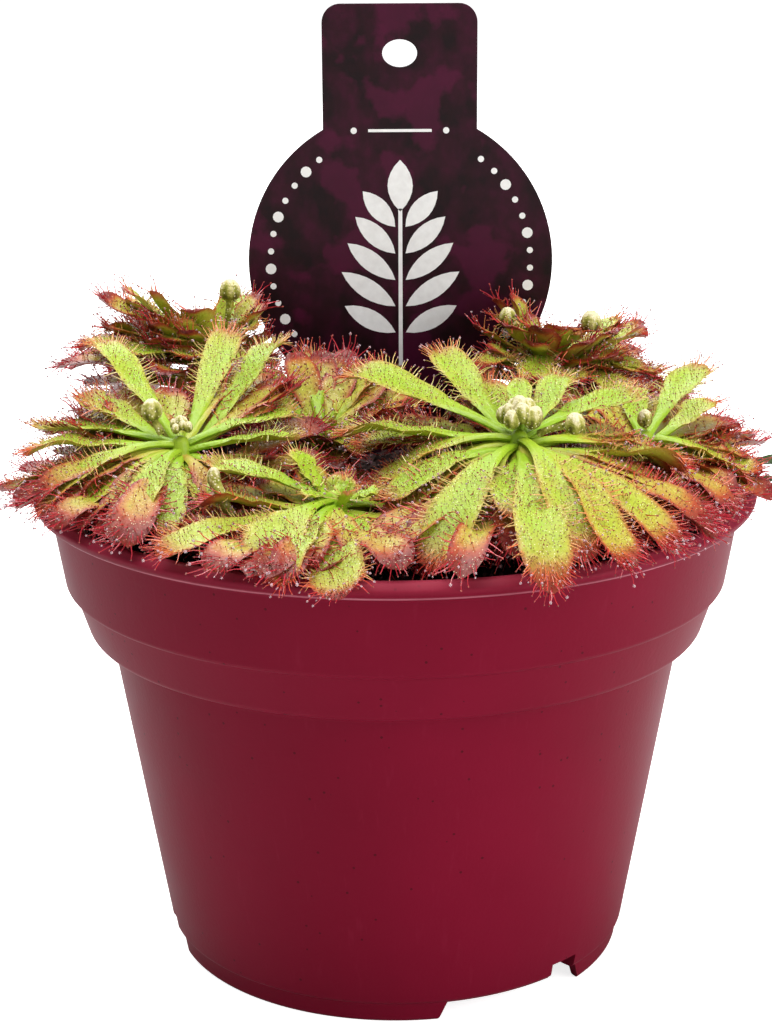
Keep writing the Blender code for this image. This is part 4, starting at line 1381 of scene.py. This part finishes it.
# Weed. A dark green seedling that has come up through the peat at the pot's right edge: three
# narrow leaves on a short stem, the longest of them past the lip.
WEED_CROWN = (47.5, -9.5, 3.0)
WEED_LEAVES = ((7, 20.0, 4.6, 4.4), (38, 9, 4.2, 3.5), (-16, 15, 2.6, 3.2))
WEED_COLOURS = ((0.018, 0.035, 0.010), (0.05, 0.09, 0.022))
weed_sheets = [stem_sheet(WEED_CROWN, 4.0)]
for number, leaf in enumerate(WEED_LEAVES):
    weed_sheets.append(leaf_sheet(WEED_CROWN, leaf, number, 0.5))
weed_finish = make_clouded_finish("weed_leaf", 0.6, 500.0, 2.0, WEED_COLOURS, Specular_IOR_Level=0.1)
finish_piece(add_object("weed", joined_sheets("weed", weed_sheets)), weed_finish, "weed_green", "weed_sprig")

# Stage. A plain pale floor, three soft studio lights in an even white surround, and a camera
# at the photograph's view. The floor and the surround look brighter than the light they give.
FLOOR_SIZE = 3.0
FLOOR_COLOUR = (0.86, 0.86, 0.86, 1)
FLOOR_GLOW = 0.8
AIM = (0, 0, 0.09)
LIGHTS = {
    "top_light": ((-0.1, -0.05, 1.1), 0.9, 15.0),
    "side_light": ((0.8, -0.45, 0.25), 0.8, 9.0),
    "back_light": ((-0.3, 0.9, 0.8), 0.9, 11.0),
}
SURROUND_LIGHT = 0.34
SURROUND_SEEN = 1.0
CAMERA_PLACE = (0, -0.372, 0.18245)
CAMERA_PITCH, CAMERA_YAW, CAMERA_ROLL = 0.2826, -0.004, -0.006
FOCAL_PIXELS = 2306.2
PHOTO_HEIGHT = 1024
SENSOR = 36.0
WHITE = (1, 1, 1, 1)

floor_bm = bmesh.new()
bmesh.ops.create_grid(floor_bm, x_segments=1, y_segments=1, size=FLOOR_SIZE)
floor = add_object("floor", mesh_from(floor_bm, "floor"))
floor_finish, floor_tree, floor_shader = new_finish(
    "floor", 0.9, Base_Color=FLOOR_COLOUR, Specular_IOR_Level=0.0, Emission_Color=WHITE
)
seen = put(floor_tree, "ShaderNodeLightPath").outputs["Is Camera Ray"]
feed(floor_tree, floor_shader, Emission_Strength=float_math(floor_tree, "MULTIPLY", seen, FLOOR_GLOW))
floor.data.materials.append(floor_finish)

for name, (place, size, power) in LIGHTS.items():
    light = bpy.data.lights.new(name, "AREA")
    light.size = size
    light.energy = power
    lamp = add_object(name, light)
    lamp.location = place
    lamp.rotation_euler = (Vector(AIM) - Vector(place)).to_track_quat("-Z", "Y").to_euler()

world = bpy.data.worlds.new("studio")
world.use_nodes = True
studio = world.node_tree
background = studio.nodes["Background"]
background.inputs["Color"].default_value = WHITE
seen = put(studio, "ShaderNodeLightPath").outputs["Is Camera Ray"]
feed(studio, background, Strength=ranged(studio, seen, 0.0, 1.0, SURROUND_LIGHT, SURROUND_SEEN))
bpy.context.scene.world = world
bpy.context.scene.view_settings.view_transform = "Standard"

level_share = math.cos(CAMERA_PITCH)
ahead = (math.sin(CAMERA_YAW) * level_share, math.cos(CAMERA_YAW) * level_share, -math.sin(CAMERA_PITCH))
ahead = Vector(ahead)
across = Vector((math.cos(CAMERA_YAW), -math.sin(CAMERA_YAW), 0))
across = across * math.cos(CAMERA_ROLL) + across.cross(ahead) * math.sin(CAMERA_ROLL)
axes = Matrix((across, across.cross(ahead), -ahead)).transposed().to_4x4()
camera_data = bpy.data.cameras.new("camera")
camera_data.sensor_width = SENSOR
camera_data.lens = FOCAL_PIXELS / PHOTO_HEIGHT * SENSOR
camera = add_object("camera", camera_data)
camera.matrix_world = Matrix.Translation(CAMERA_PLACE) @ axes
bpy.context.scene.camera = camera
